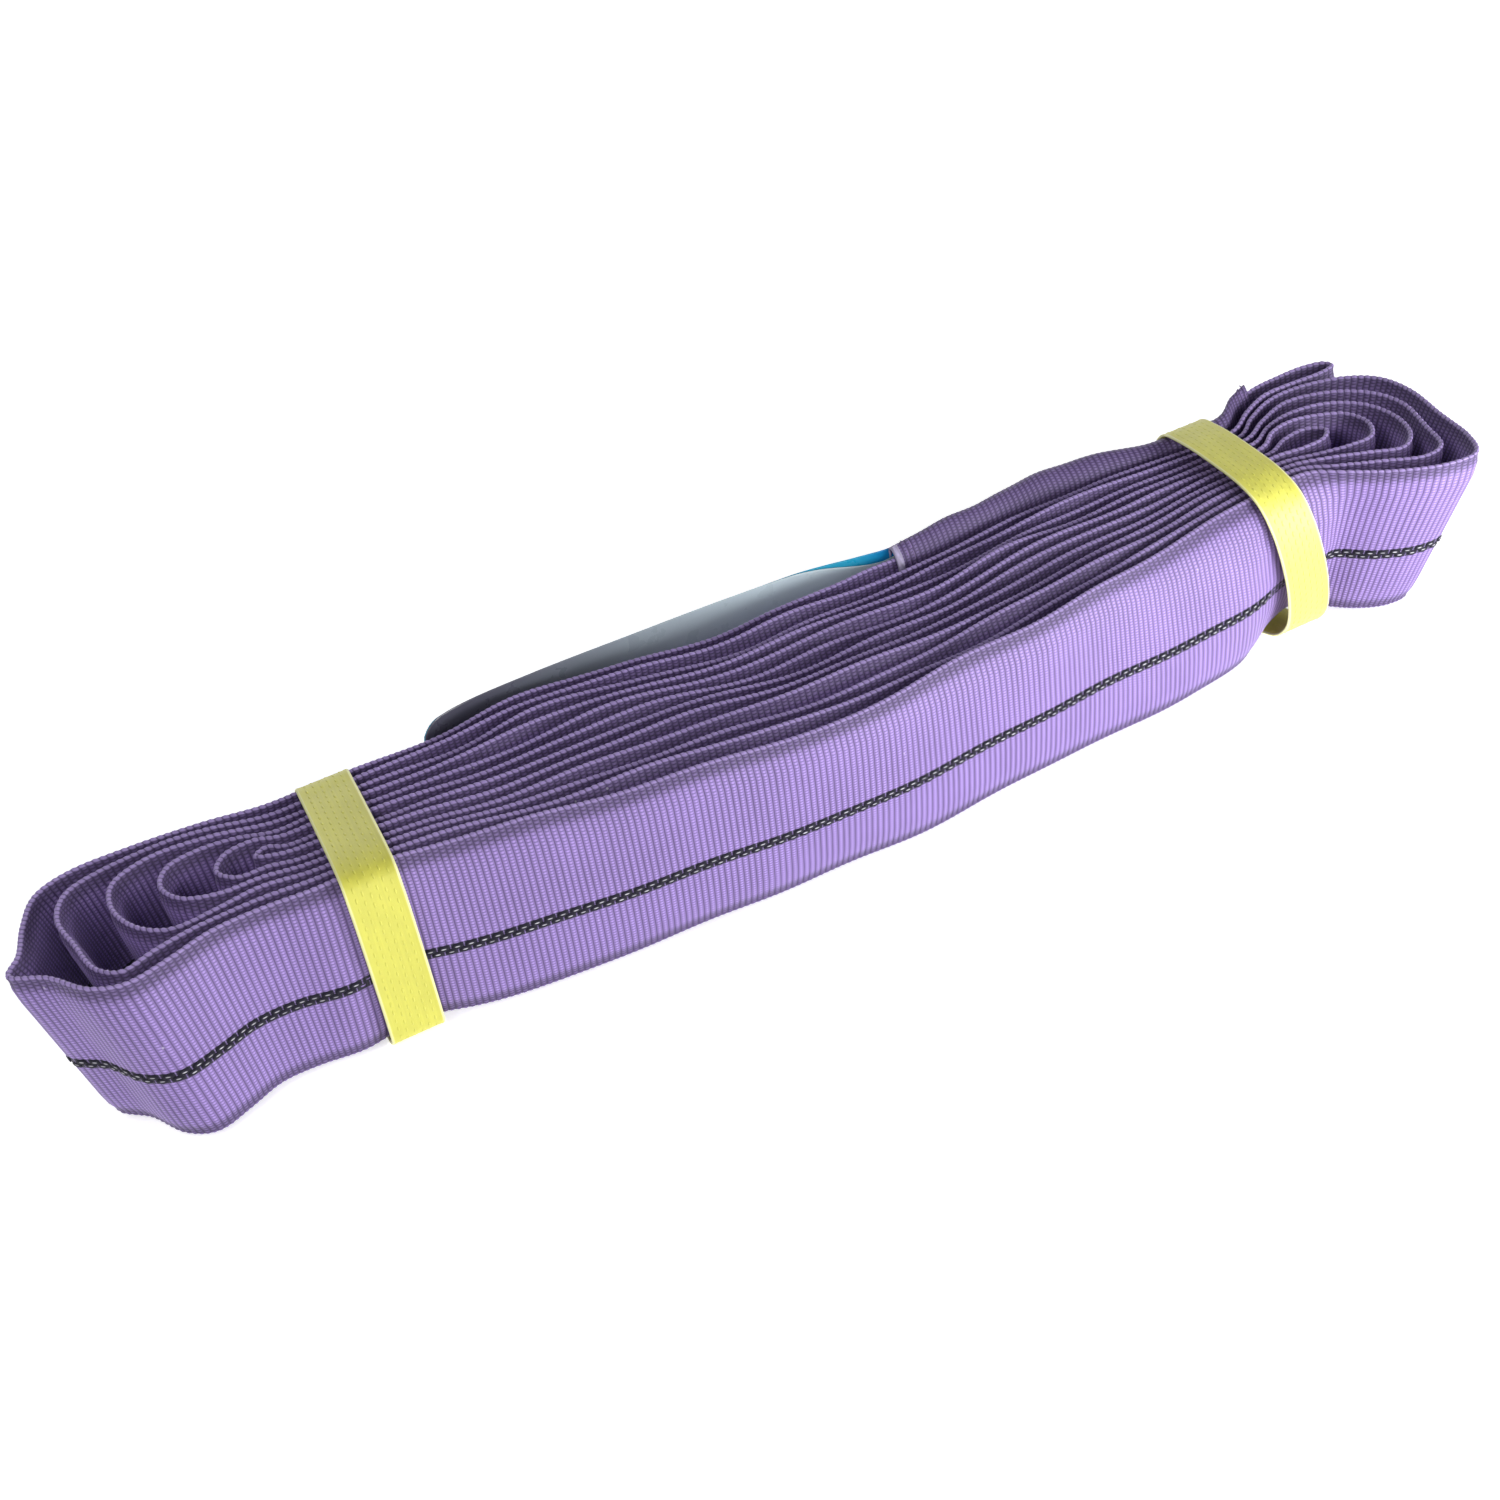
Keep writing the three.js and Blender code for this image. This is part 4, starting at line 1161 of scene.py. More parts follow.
# Core yarn. An endless skein of undyed polyester yarn that carries the load, loose inside the
# sleeve. It can't be seen while the sleeve is whole, so the plain core only gets its yarn finish.
def loose_yarn_material():
    """Bundled soft white yarn, its strands running along the skein."""
    made, nodes, links = blank_material("undyed_core_yarn", (0.88, 0.86, 0.8))
    place = nodes.new("ShaderNodeTexCoord")
    place.label = "place in the hank"
    stretch = nodes.new("ShaderNodeMapping")
    stretch.label = "stretch along the skein"
    stretch.inputs["Scale"].default_value = (60.0, 60.0, 900.0)
    links.new(place.outputs["Object"], stretch.inputs["Vector"])
    strands_seen = nodes.new("ShaderNodeTexNoise")
    strands_seen.label = "strands"
    strands_seen.inputs["Scale"].default_value = 1.0
    strands_seen.inputs["Detail"].default_value = 4.0
    links.new(stretch.outputs[0], strands_seen.inputs["Vector"])
    tone = nodes.new("ShaderNodeMix")
    tone.label = "shade between strands"
    tone.data_type = "RGBA"
    tone.inputs[6].default_value = (0.62, 0.6, 0.54, 1)
    tone.inputs[7].default_value = (0.92, 0.9, 0.85, 1)
    links.new(strands_seen.outputs["Fac"], tone.inputs[0])
    relief = nodes.new("ShaderNodeBump")
    relief.label = "strands stand up"
    relief.inputs["Strength"].default_value = 0.7
    relief.inputs["Distance"].default_value = 0.0004
    links.new(strands_seen.outputs["Fac"], relief.inputs["Height"])
    yarn = nodes.new("ShaderNodeBsdfPrincipled")
    yarn.label = "soft yarn"
    yarn.inputs["Roughness"].default_value = 0.75
    yarn.inputs["Sheen Weight"].default_value = 0.3
    links.new(tone.outputs[2], yarn.inputs["Base Color"])
    links.new(relief.outputs[0], yarn.inputs["Normal"])
    surface = nodes.new("ShaderNodeOutputMaterial")
    links.new(yarn.outputs[0], surface.inputs["Surface"])
    frame_groups(nodes, {"bundled yarn": (place, stretch, strands_seen, tone, relief, yarn, surface)})
    return made


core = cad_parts["core_yarn"]
core.data.materials.clear()
core.data.materials.append(loose_yarn_material())


# Joint cuff. A short wider sleeve of the same ribbed cloth, drawn over the rear layer where the
# sleeve's two ends meet, with a pale overlocked hem at the mouth that the label comes out of.
CUFF_AROUND = 72
CUFF_HALF = 0.3
CUFF_BUILT = 0.3
LAYER_HALF = 1.7
CUFF_CLEAR = 0.3
CUFF_TOP = 55.0
CUFF_LOW = 1.4
CUFF_PRESSED = 1.6
CUFF_BEND_X = 160.0
CUFF_DRAWN_IN = 1.3
CUFF_BEND_ROOM = 0.1
# The loose rear wall: how far it stands off, and its swells as place along X, reach and height
CUFF_STAND_OFF = 3.5
CUFF_SWELLS = [(108, 24, 4.5), (64, 9, 1.2)]
# The stretch of sleeve on the rear layer, before the joint and after it
REAR_BEFORE_JOINT = 200.0
REAR_AFTER_JOINT = 80.0

before_joint = np.nonzero(travelled > ROUND_LENGTH - REAR_BEFORE_JOINT)[0][:-1]
after_joint = np.nonzero(travelled < REAR_AFTER_JOINT)[0]
rear_cloth = cloth[np.concatenate([before_joint, after_joint])]


def rear_layer_y(x, v):
    """Middle of the rear layer at x, at a share v of its height."""
    row = min(int(np.searchsorted(ROW_SHARE, v, side="right")) - 1, ROW_COUNT - 2)
    share = (v - ROW_SHARE[row]) / (ROW_SHARE[row + 1] - ROW_SHARE[row])
    line = mix(rear_cloth[:, row], rear_cloth[:, row + 1], share)
    return float(np.interp(x, line[:, 0], line[:, 1]))


def cuff_ring(x, growth):
    """Closed section of the cuff at x as evenly spaced y, z points, its first and last the same."""
    front = LAYER_HALF + CUFF_CLEAR + growth + CUFF_BEND_ROOM * ease(x, CUFF_BEND_X, CUFF_BEND_X + 10)
    edge = 0.8 + growth
    soft = 0.45 * np.sin(x / 4.9) + 0.3 * np.sin(x / 2.7 + 1.0)
    rear = CUFF_STAND_OFF
    for at, reach, high in CUFF_SWELLS:
        rear = rear + high * bump(x, at, reach)
    rear = rear + growth - CUFF_DRAWN_IN * ease(x, CUFF_BEND_X, CUFF_BEND_X + 12)
    under_strap = ease(x, 123, 141) - ease(x, 162, 174)
    pressed = CUFF_PRESSED * under_strap
    y0, y25, y75, y100 = (rear_layer_y(x, v) for v in (0, 0.25, 0.75, 1))
    loose = 1.0 - under_strap
    corners = np.array([
        (y0 + 1.2 + growth, CUFF_LOW), (y25 + rear, 12), (y75 + rear + 0.3 * soft * loose, 42),
        (y100 + rear * 0.5, CUFF_TOP - CUFF_HALF - pressed + 0.4 * soft * loose),
        (y100 - edge, 51.5), (y75 - front, 39.5), (y25 - front, 14.5), (y0 - edge, CUFF_LOW),
    ])
    fine = spline(corners, np.arange(0, len(corners), 1 / 32))
    fine = np.vstack([fine, fine[:1]])
    fine[:, 1] = np.maximum(fine[:, 1], CUFF_LOW - 0.2)
    far = np.concatenate([[0.0], np.cumsum(np.linalg.norm(np.diff(fine, axis=0), axis=1))])
    even = np.linspace(0, far[-1], CUFF_AROUND + 1)
    return np.stack([np.interp(even, far, fine[:, k]) for k in range(2)], axis=1), far[-1]


def ring_facing(ring):
    """Outward direction at each point of a closed section in the plane across the hank."""
    ahead_of = np.roll(ring[:-1], -1, axis=0) - np.roll(ring[:-1], 1, axis=0)
    ahead_of = np.vstack([ahead_of, ahead_of[:1]])
    ahead_of /= np.linalg.norm(ahead_of, axis=1, keepdims=True)
    return np.stack([np.zeros(len(ring)), ahead_of[:, 1], -ahead_of[:, 0]], axis=1)


cuff_count = int(round((CUFF_X[1] - CUFF_X[0]) / rib_pitch)) * STATIONS_PER_RIB
cuff_x = np.linspace(*CUFF_X, cuff_count + 1)
cuff_x = np.sort(np.concatenate([cuff_x, [CUFF_X[0] + 0.12, CUFF_X[1] - 0.12]]))
cuff_points, cuff_facing, cuff_round = [], [], []
for x in cuff_x:
    ring, around = cuff_ring(x, CUFF_BUILT)
    cuff_points.append(np.column_stack([np.full(len(ring), x), ring]))
    cuff_facing.append(ring_facing(ring))
    cuff_round.append(around)
cuff_points = np.array(cuff_points)
cuff_shape = cuff_points.shape[:2]
cuff_half = np.full(cuff_shape, CUFF_HALF)
cuff_half[[0, -1]] = 0.0
cuff_guide = grid_mesh("cuff_guide", cuff_points)
add_values(cuff_guide, "skin", np.array(cuff_facing))
add_values(cuff_guide, "half", cuff_half * MM)
add_values(cuff_guide, "gain", np.where(cuff_half > 0, 0.75, 0.0))
add_values(cuff_guide, "lead", np.zeros(cuff_shape))
add_values(cuff_guide, "along", np.broadcast_to(cuff_x[:, None], cuff_shape) * MM)
add_values(cuff_guide, "across",
           np.linspace(0, 1, CUFF_AROUND + 1)[None, :] * np.array(cuff_round)[:, None] * MM)
# The cuff is the sleeve's own cloth; its violet is the sleeve's made darker as painted shade.
shaded_cuff_violet = tuple(0.54 * c for c in VIOLET)
joint_cuff = grown("joint_cuff_sleeve", cuff_guide, ribbed_wall, Rib_Pitch=rib_pitch * MM,
                   Rib_Depth=RIB_DEPTH * MM, Cloth=ribbed_cloth("cuff_web_painted_shade", shaded_cuff_violet, marker=0.0))
mend(joint_cuff.data, merge=1e-5)
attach(joint_cuff, "hank")
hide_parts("joint_cuff")


def thread_material(name, colour, twist):
    """Sewing thread; twist is how many turns of ply show on one stitch."""
    made, nodes, links = blank_material(name, colour)
    place = nodes.new("ShaderNodeTexCoord")
    place.label = "place in the hank"
    turn = nodes.new("ShaderNodeMapping")
    turn.label = "lean of the twist"
    turn.inputs["Rotation"].default_value = (0.0, 0.6, 0.5)
    links.new(place.outputs["Object"], turn.inputs["Vector"])
    ply = nodes.new("ShaderNodeTexWave")
    ply.label = "ply of the thread"
    ply.inputs["Scale"].default_value = twist
    ply.inputs["Distortion"].default_value = 1.5
    links.new(turn.outputs[0], ply.inputs["Vector"])
    uneven = nodes.new("ShaderNodeTexNoise")
    uneven.label = "uneven thread"
    uneven.inputs["Scale"].default_value = 900.0
    links.new(place.outputs["Object"], uneven.inputs["Vector"])
    shade = nodes.new("ShaderNodeMath")
    shade.label = "ply and unevenness"
    shade.operation = "MULTIPLY"
    links.new(ply.outputs["Fac"], shade.inputs[0])
    links.new(uneven.outputs["Fac"], shade.inputs[1])
    tone = nodes.new("ShaderNodeMix")
    tone.label = "shade between plies"
    tone.data_type = "RGBA"
    tone.inputs[6].default_value = (*(0.7 * c for c in colour), 1)
    tone.inputs[7].default_value = (*(min(1.0, 1.25 * c) for c in colour), 1)
    links.new(shade.outputs[0], tone.inputs[0])
    relief = nodes.new("ShaderNodeBump")
    relief.label = "plies stand up"
    relief.inputs["Strength"].default_value = 0.5
    relief.inputs["Distance"].default_value = 0.00012
    links.new(ply.outputs["Fac"], relief.inputs["Height"])
    sewn = nodes.new("ShaderNodeBsdfPrincipled")
    sewn.label = "polyester thread"
    sewn.inputs["Roughness"].default_value = 0.5
    sewn.inputs["Sheen Weight"].default_value = 0.2
    links.new(tone.outputs[2], sewn.inputs["Base Color"])
    links.new(relief.outputs[0], sewn.inputs["Normal"])
    surface = nodes.new("ShaderNodeOutputMaterial")
    links.new(sewn.outputs[0], surface.inputs["Surface"])
    frame_groups(nodes, {"twisted thread": (place, turn, ply, uneven, shade, tone, relief, sewn, surface)})
    return made


# Hem of the cuff: two overlocked rolls of pale thread round the mouth
HEM_PROFILE = [(-0.35, -0.45), (-0.5, 0.0), (-0.35, 0.42), (0.0, 0.55), (0.35, 0.5), (0.62, 0.26),
               (0.9, 0.5), (1.25, 0.58), (1.6, 0.48), (1.85, 0.15), (1.6, -0.1), (0.4, -0.2)]
HEM_SUNK = 0.1
HEM_WAVES = 36
HEM_WAVE_HEIGHT = 0.05
hem_points = []
hem_wave = HEM_WAVE_HEIGHT * np.sin(np.arange(CUFF_AROUND + 1) / CUFF_AROUND * 2 * np.pi * HEM_WAVES)
for step, proud in HEM_PROFILE:
    ring, _ = cuff_ring(CUFF_X[0] + max(step, 0.0), CUFF_BUILT + CUFF_HALF)
    outward = ring_facing(ring)
    line = np.column_stack([np.full(len(ring), CUFF_X[0] + step), ring])
    hem_points.append((line + outward * (proud - HEM_SUNK + hem_wave[:, None] * (proud > 0.4)))[:-1])
hem_mesh = grid_mesh("cuff_hem", np.array(hem_points + hem_points[:1]), closed=True)
cuff_hem = plain_object("cuff_hem", hem_mesh)
mend(hem_mesh, merge=1e-6, turn_outwards=True)
hem_mesh.shade_smooth()
hem_mesh.materials.append(thread_material("pale_hem_thread", (0.5, 0.44, 0.66), twist=260.0))
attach(cuff_hem, "hank")


# Cuff stitches. Two rows of violet lockstitch close the cuff round the sleeve at each end. They
# also hold the label's tail. Each stitch dips into the cloth at both ends.
STITCH_LENGTH = 2.9
STITCH_PITCH = 3.4
STITCH_WIDTH = 0.5
STITCH_SUNK = 0.05
STITCH_ROWS = {
    "cuff_stitches_at_label": ((51.9, 53.8), "cuff_seam_at_label"),
    "cuff_stitches_at_far_end": ((178.8, 180.6), "cuff_seam_at_far_end"),
}
stitch_thread = thread_material("violet_thread", (0.26, 0.17, 0.42), twist=420.0)
for name, (seams, node_name) in STITCH_ROWS.items():
    stitch_places, stitch_facings, stitch_runs = [], [], []
    for shift, seam_x in enumerate(seams):
        ring, around = cuff_ring(seam_x, CUFF_BUILT + CUFF_HALF - STITCH_SUNK)
        outward = ring_facing(ring)
        far = np.linspace(0, around, len(ring))
        stitch_count = int(around / STITCH_PITCH)
        for number in range(stitch_count):
            at = (number + 0.5 * shift) * around / stitch_count
            spot = [np.interp(at, far, ring[:, k]) for k in range(2)]
            out_here = np.array([np.interp(at, far, outward[:, k]) for k in range(3)])
            stitch_places.append((seam_x, *spot))
            stitch_facings.append(out_here)
            stitch_runs.append(np.cross((1, 0, 0), out_here))
    stitch_points = bead_points(name + "_points", stitch_places, stitch_facings, stitch_runs)
    stitches = grown(name, stitch_points, laid_beads, Length=STITCH_LENGTH * MM, Width=STITCH_WIDTH * MM,
                     Height=STITCH_WIDTH * MM, Finish=stitch_thread)
    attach(stitches, "hank")
    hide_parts(node_name)


# Label. Two coated leaves sewn in together under the cuff, where their tails lie flat against the
# sleeve: a blue outer leaf printed on its rear, and a white inner leaf. They bend at the mouth.
LABEL_TAIL = [(64.0, 2.5), (58.0, 2.5), (52.5, 2.45)]
LABEL_LINE = [(46.9, 25.5), (38, 27.6), (22, 32.6), (0, 34.6), (-30, 35.6), (-62, 36.2), (-84, 35),
              (-97, 31.2)]
LABEL_LOW = 9.0
LABEL_TOP = 53.0
LABEL_CORNER = 7.0
LABEL_STEP = 1.2
LEAF_HALF = 0.17
LEAF_ACROSS = 26
LEAF_BOW = 0.9
TAIL_NARROWER = (3.0, 6.0)


def open_line(points, spacing):
    """Evenly spaced points of a smooth open line through the given points."""
    points = np.array(points, float)
    lined = np.vstack([2 * points[0] - points[1], points, 2 * points[-1] - points[-2]])
    fine = spline(lined, np.linspace(1, len(points), 40 * len(points)))
    far = np.concatenate([[0.0], np.cumsum(np.linalg.norm(np.diff(fine, axis=0), axis=1))])
    even = np.linspace(0, far[-1], int(round(far[-1] / spacing)) + 1)
    return np.stack([np.interp(even, far, fine[:, k]) for k in range(points.shape[1])], axis=1), even


def label_leaf_material(name, ink, far_tone, fade_from, fade_to, ground, printed):
    """Glossy coated leaf, its colour going from ink to far_tone along it, on the inner leaf as painted
    shade and painted reflection; printed is 1 if its rear face has a plain form.
    """
    made, nodes, links = blank_material(name, ink)
    place = nodes.new("ShaderNodeUVMap")
    place.label = "metres along and across"
    place.uv_map = "place"
    split = nodes.new("ShaderNodeSeparateXYZ")
    split.label = "along, across"
    links.new(place.outputs["UV"], split.inputs[0])
    fade = nodes.new("ShaderNodeMapRange")
    fade.label = "fade along the leaf"
    fade.interpolation_type = "SMOOTHSTEP"
    fade.inputs["From Min"].default_value = fade_from
    fade.inputs["From Max"].default_value = fade_to
    links.new(split.outputs["X"], fade.inputs["Value"])
    tones_along = nodes.new("ShaderNodeMix")
    tones_along.label = "ink to far tone, painted shade on the inner leaf"
    tones_along.data_type = "RGBA"
    tones_along.inputs[6].default_value = (*ink, 1)
    tones_along.inputs[7].default_value = (*far_tone, 1)
    links.new(fade.outputs[0], tones_along.inputs[0])

    # printed form: a white field with a wide bar and three thin ones, and a white block beside it
    panels = []
    for label, low_x, high_x, low_y, high_y in (
        ("white field", 0.062, 0.148, 0.006, 0.038), ("wide bar", 0.066, 0.144, 0.030, 0.0345),
        ("middle bar", 0.066, 0.128, 0.0215, 0.0228), ("lower bar", 0.066, 0.136, 0.0158, 0.0171),
        ("last bar", 0.066, 0.118, 0.0101, 0.0114), ("end block", 0.036, 0.054, 0.008, 0.036),
    ):
        inside = []
        for axis, low, high in (("X", low_x, high_x), ("Y", low_y, high_y)):
            off = nodes.new("ShaderNodeMath")
            off.label = label + ", from its middle"
            off.operation = "SUBTRACT"
            off.inputs[1].default_value = (low + high) / 2
            links.new(split.outputs[axis], off.inputs[0])
            size = nodes.new("ShaderNodeMath")
            size.label = label + ", either side"
            size.operation = "ABSOLUTE"
            links.new(off.outputs[0], size.inputs[0])
            within = nodes.new("ShaderNodeMath")
            within.label = label + ", within"
            within.operation = "LESS_THAN"
            within.inputs[1].default_value = (high - low) / 2
            links.new(size.outputs[0], within.inputs[0])
            inside += [off, size, within]
        panel = nodes.new("ShaderNodeMath")
        panel.label = label
        panel.operation = "MULTIPLY"
        links.new(inside[2].outputs[0], panel.inputs[0])
        links.new(inside[5].outputs[0], panel.inputs[1])
        panels.append((*inside, panel))
    field = nodes.new("ShaderNodeMath")
    field.label = "white areas"
    field.operation = "MAXIMUM"
    links.new(panels[0][6].outputs[0], field.inputs[0])
    links.new(panels[5][6].outputs[0], field.inputs[1])
    bars = [panels[1][6]]
    for other in panels[2:5]:
        joined = nodes.new("ShaderNodeMath")
        joined.label = "bars so far"
        joined.operation = "MAXIMUM"
        links.new(bars[-1].outputs[0], joined.inputs[0])
        links.new(other[6].outputs[0], joined.inputs[1])
        bars.append(joined)
    unbarred = nodes.new("ShaderNodeMath")
    unbarred.label = "white between the bars"
    unbarred.operation = "SUBTRACT"
    unbarred.use_clamp = True
    links.new(field.outputs[0], unbarred.inputs[0])
    links.new(bars[-1].outputs[0], unbarred.inputs[1])
    side = nodes.new("ShaderNodeAttribute")
    side.label = "1 on the rear face"
    side.attribute_name = "outer_face"
    on_rear = nodes.new("ShaderNodeMath")
    on_rear.label = "only on the rear face"
    on_rear.operation = "MULTIPLY"
    links.new(unbarred.outputs[0], on_rear.inputs[0])
    links.new(side.outputs["Fac"], on_rear.inputs[1])
    form = nodes.new("ShaderNodeMath")
    form.label = "form, where it is printed"
    form.operation = "MULTIPLY"
    form.inputs[1].default_value = printed
    links.new(on_rear.outputs[0], form.inputs[0])
    face = nodes.new("ShaderNodeMix")
    face.label = "leaf with its form"
    face.data_type = "RGBA"
    face.inputs[7].default_value = (*ground, 1)
    links.new(form.outputs[0], face.inputs[0])
    links.new(tones_along.outputs[2], face.inputs[6])
    scuffs = nodes.new("ShaderNodeTexNoise")
    scuffs.label = "faint scuffs"
    scuffs.inputs["Scale"].default_value = 160.0
    scuffs.inputs["Detail"].default_value = 4.0
    links.new(place.outputs["UV"], scuffs.inputs["Vector"])
    dull = nodes.new("ShaderNodeMapRange")
    dull.label = "roughness with scuffs"
    dull.inputs["To Min"].default_value = 0.18
    dull.inputs["To Max"].default_value = 0.42
    links.new(scuffs.outputs["Fac"], dull.inputs["Value"])
    cloth_grain = nodes.new("ShaderNodeTexNoise")
    cloth_grain.label = "grain of the fabric under the coating"
    cloth_grain.inputs["Scale"].default_value = 1400.0
    links.new(place.outputs["UV"], cloth_grain.inputs["Vector"])
    grain = nodes.new("ShaderNodeBump")
    grain.label = "grain through the coating"
    grain.inputs["Strength"].default_value = 0.12
    grain.inputs["Distance"].default_value = 0.00008
    links.new(cloth_grain.outputs["Fac"], grain.inputs["Height"])
    coat = nodes.new("ShaderNodeBsdfPrincipled")
    coat.label = "coated leaf"
    coat.inputs["Coat Weight"].default_value = 0.5
    coat.inputs["Coat Roughness"].default_value = 0.12
    links.new(face.outputs[2], coat.inputs["Base Color"])
    links.new(dull.outputs[0], coat.inputs["Roughness"])
    links.new(grain.outputs[0], coat.inputs["Normal"])
    surface = nodes.new("ShaderNodeOutputMaterial")
    links.new(coat.outputs[0], surface.inputs["Surface"])
    frame_groups(nodes, {
        "ink": (place, split, fade, tones_along),
        **{f"panel {number}": members for number, members in enumerate(panels, start=1)},
        "form": (field, *bars[1:], unbarred, side, on_rear, form, face),
        "coating": (scuffs, dull, cloth_grain, grain, coat, surface),
    })
    return made


# Each leaf: how far it is from the line they share, free and in the tail; how much its top rises
# near the mouth, over what reach, and is lower elsewhere; then what it replaces and how it looks
LEAVES = {
    "label_outer_sheet": {
        "apart": 0.42, "tail_apart": 0.22, "rise": 1.5, "rise_reach": 19.0, "lower": 0.6,
        "nodes": ("label_outer_leaf",), "slot": "label_face", "ink": (0.0, 0.2, 0.52),
        "far_tone": (0.03, 0.4, 0.62), "fade": (0.014, 0.03), "ground": (0.8, 0.84, 0.86), "printed": 1.0,
    },
    # The inner leaf's tone runs from pale near the cuff to dark towards its free end: painted shade and
    # painted reflection of the shaded gap behind it.
    "label_inner_sheet": {
        "apart": -0.42, "tail_apart": -0.22, "rise": -2.2, "rise_reach": 12.0, "lower": 0.0,
        "nodes": ("label_inner_leaf", "label_tail"), "slot": "label_back", "ink": (0.6, 0.72, 0.77),
        "far_tone": (0.09, 0.09, 0.125), "fade": (0.03, 0.15), "ground": (0.8, 0.8, 0.84), "printed": 0.0,
    },
}
tail_points = [(x, rear_layer_y(x, 0.5) + off - CENTRE_SHIFT_Y) for x, off in LABEL_TAIL]
label_line, label_along = open_line(tail_points + LABEL_LINE, LABEL_STEP)
label_line[:, 1] += CENTRE_SHIFT_Y
label_ahead = np.gradient(label_line, axis=0)
label_ahead /= np.linalg.norm(label_ahead, axis=1, keepdims=True)
label_back_way = np.column_stack([label_ahead[:, 1], -label_ahead[:, 0]])
label_length = label_along[-1]
from_free_end = label_length - label_along
in_corner = np.clip(LABEL_CORNER - from_free_end, 0, LABEL_CORNER)
corner_cut = LABEL_CORNER - np.sqrt(np.maximum(LABEL_CORNER**2 - in_corner**2, 0))
freed = ease(-label_line[:, 0], -50.0, -44.0)
leaf_share = np.concatenate([[1.0, 0.996], np.linspace(0.988, 0.012, LEAF_ACROSS), [0.004, 0.0]])
for name, leaf in LEAVES.items():
    near_mouth = bump(label_line[:, 0], 44.0, leaf["rise_reach"]) * ease(-label_line[:, 0], -64.0, -44.0)
    in_tail = 1 - ease(-label_line[:, 0], -56.0, -48.0)
    low = LABEL_LOW + corner_cut + TAIL_NARROWER[0] * in_tail
    high = LABEL_TOP - leaf["lower"] * freed - corner_cut + leaf["rise"] * near_mouth
    high -= TAIL_NARROWER[1] * in_tail
    apart = mix(leaf["tail_apart"], leaf["apart"], freed)
    line = label_line + label_back_way * apart[:, None]
    heights = low[:, None] + (high - low)[:, None] * leaf_share[None, :]
    # the free part bows a little across its height
    bowed = LEAF_BOW * freed * ease(from_free_end, 0, 40)
    bow = bowed[:, None] * np.sin(np.pi * leaf_share)[None, :]
    points = np.zeros((len(line), len(leaf_share), 3))
    points[..., :2] = line[:, None, :] + label_back_way[:, None, :] * bow[..., None]
    points[..., 2] = heights
    thickness = np.full(points.shape[:2], LEAF_HALF)
    thickness[[0, -1]] = 0.0
    thickness[:, [0, -1]] = 0.0
    guide = grid_mesh(name + "_guide", points)
    skin = np.zeros(points.shape)
    skin[..., :2] = label_back_way[:, None, :]
    add_values(guide, "skin", skin)
    add_values(guide, "half", thickness * MM)
    add_values(guide, "along", np.broadcast_to(label_along[:, None], thickness.shape) * MM)
    add_values(guide, "across", (heights - LABEL_LOW) * MM)
    sheet = grown(name, guide, ribbed_wall, Rib_Pitch=1.0, Rib_Depth=0.0,
                  Cloth=label_leaf_material(name + "_coating", leaf["ink"], leaf["far_tone"], *leaf["fade"],
                                            leaf["ground"], leaf["printed"]))
    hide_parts(*leaf["nodes"])
    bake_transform(sheet)


# Packing straps. Embossed yellow polypropylene strapping, drawn tight round the hank and
# friction-welded into a loop where its ends lap on the rear face.
STRAP_OUTLINES = {
    "left": [(-16, 0.8), (-20.5, 0.9), (-23.8, 3), (-24.2, 8), (-23.8, 20), (-23, 34), (-21.6, 46),
             (-19.4, 51.2), (-14, 52.9), (2, 53.3), (18, 53.1), (26, 52.2), (28.4, 46), (28.6, 30),
             (28.4, 10), (26.4, 2.2), (21, 0.8), (8, 0.8), (-6, 0.8)],
    "right": [(-10, 0.8), (-17, 2.2), (-23, 9), (-26.2, 20), (-26.6, 32), (-24.6, 43), (-20.4, 50.6),
              (-13, 54), (2, 55.4), (18, 55.2), (27, 53.4), (31, 47), (32.2, 30), (31.6, 12), (29, 3),
              (22, 0.8), (12, 0.8), (0, 0.8)],
}
STRAP_PLACES = {
    "left": {"rear": -127, "front_top": -5, "front_foot": -4},
    "right": {"rear": 152, "front_top": -2, "front_foot": 8},
}
STRAP_THICK = 0.8
LAP = (12.0, 42.0)
# Section of the band: across it, and out from the inside; the two edges are drawn a little thicker
STRAP_SECTION = [(-7.5, 0.28), (-7.5, 0.52), (-7.28, 0.76), (-6.85, 0.84), (-6.4, 0.76), (-5.8, 0.7),
                 (-2, 0.7), (2, 0.7), (5.8, 0.7), (6.4, 0.76), (6.85, 0.84), (7.28, 0.76), (7.5, 0.52),
                 (7.5, 0.28), (7.2, 0.04), (3, 0.0), (-3, 0.0), (-7.2, 0.04)]
DASH_PITCH = 2.7
DASH_COLUMNS = (-5.0, -3.0, -1.0, 1.0, 3.0, 5.0)
DASH_SIZE = (1.7, 0.62, 0.24)
RIDGE_SIZE = (11.5, 0.7, 0.34)
RAISED_FROM = 0.68
WELD_Z = (20.0, 34.0)
WELD_PITCH = 0.95
LAP_LIFT = STRAP_THICK + 0.06
BAND_STEP = 0.9
# The right strap's yellow is lighter than the left's as painted light; both are the same strapping.
STRAP_YELLOWS_PAINTED_LIGHT = {"left": (0.6, 0.58, 0.09), "right": (0.68, 0.66, 0.12)}


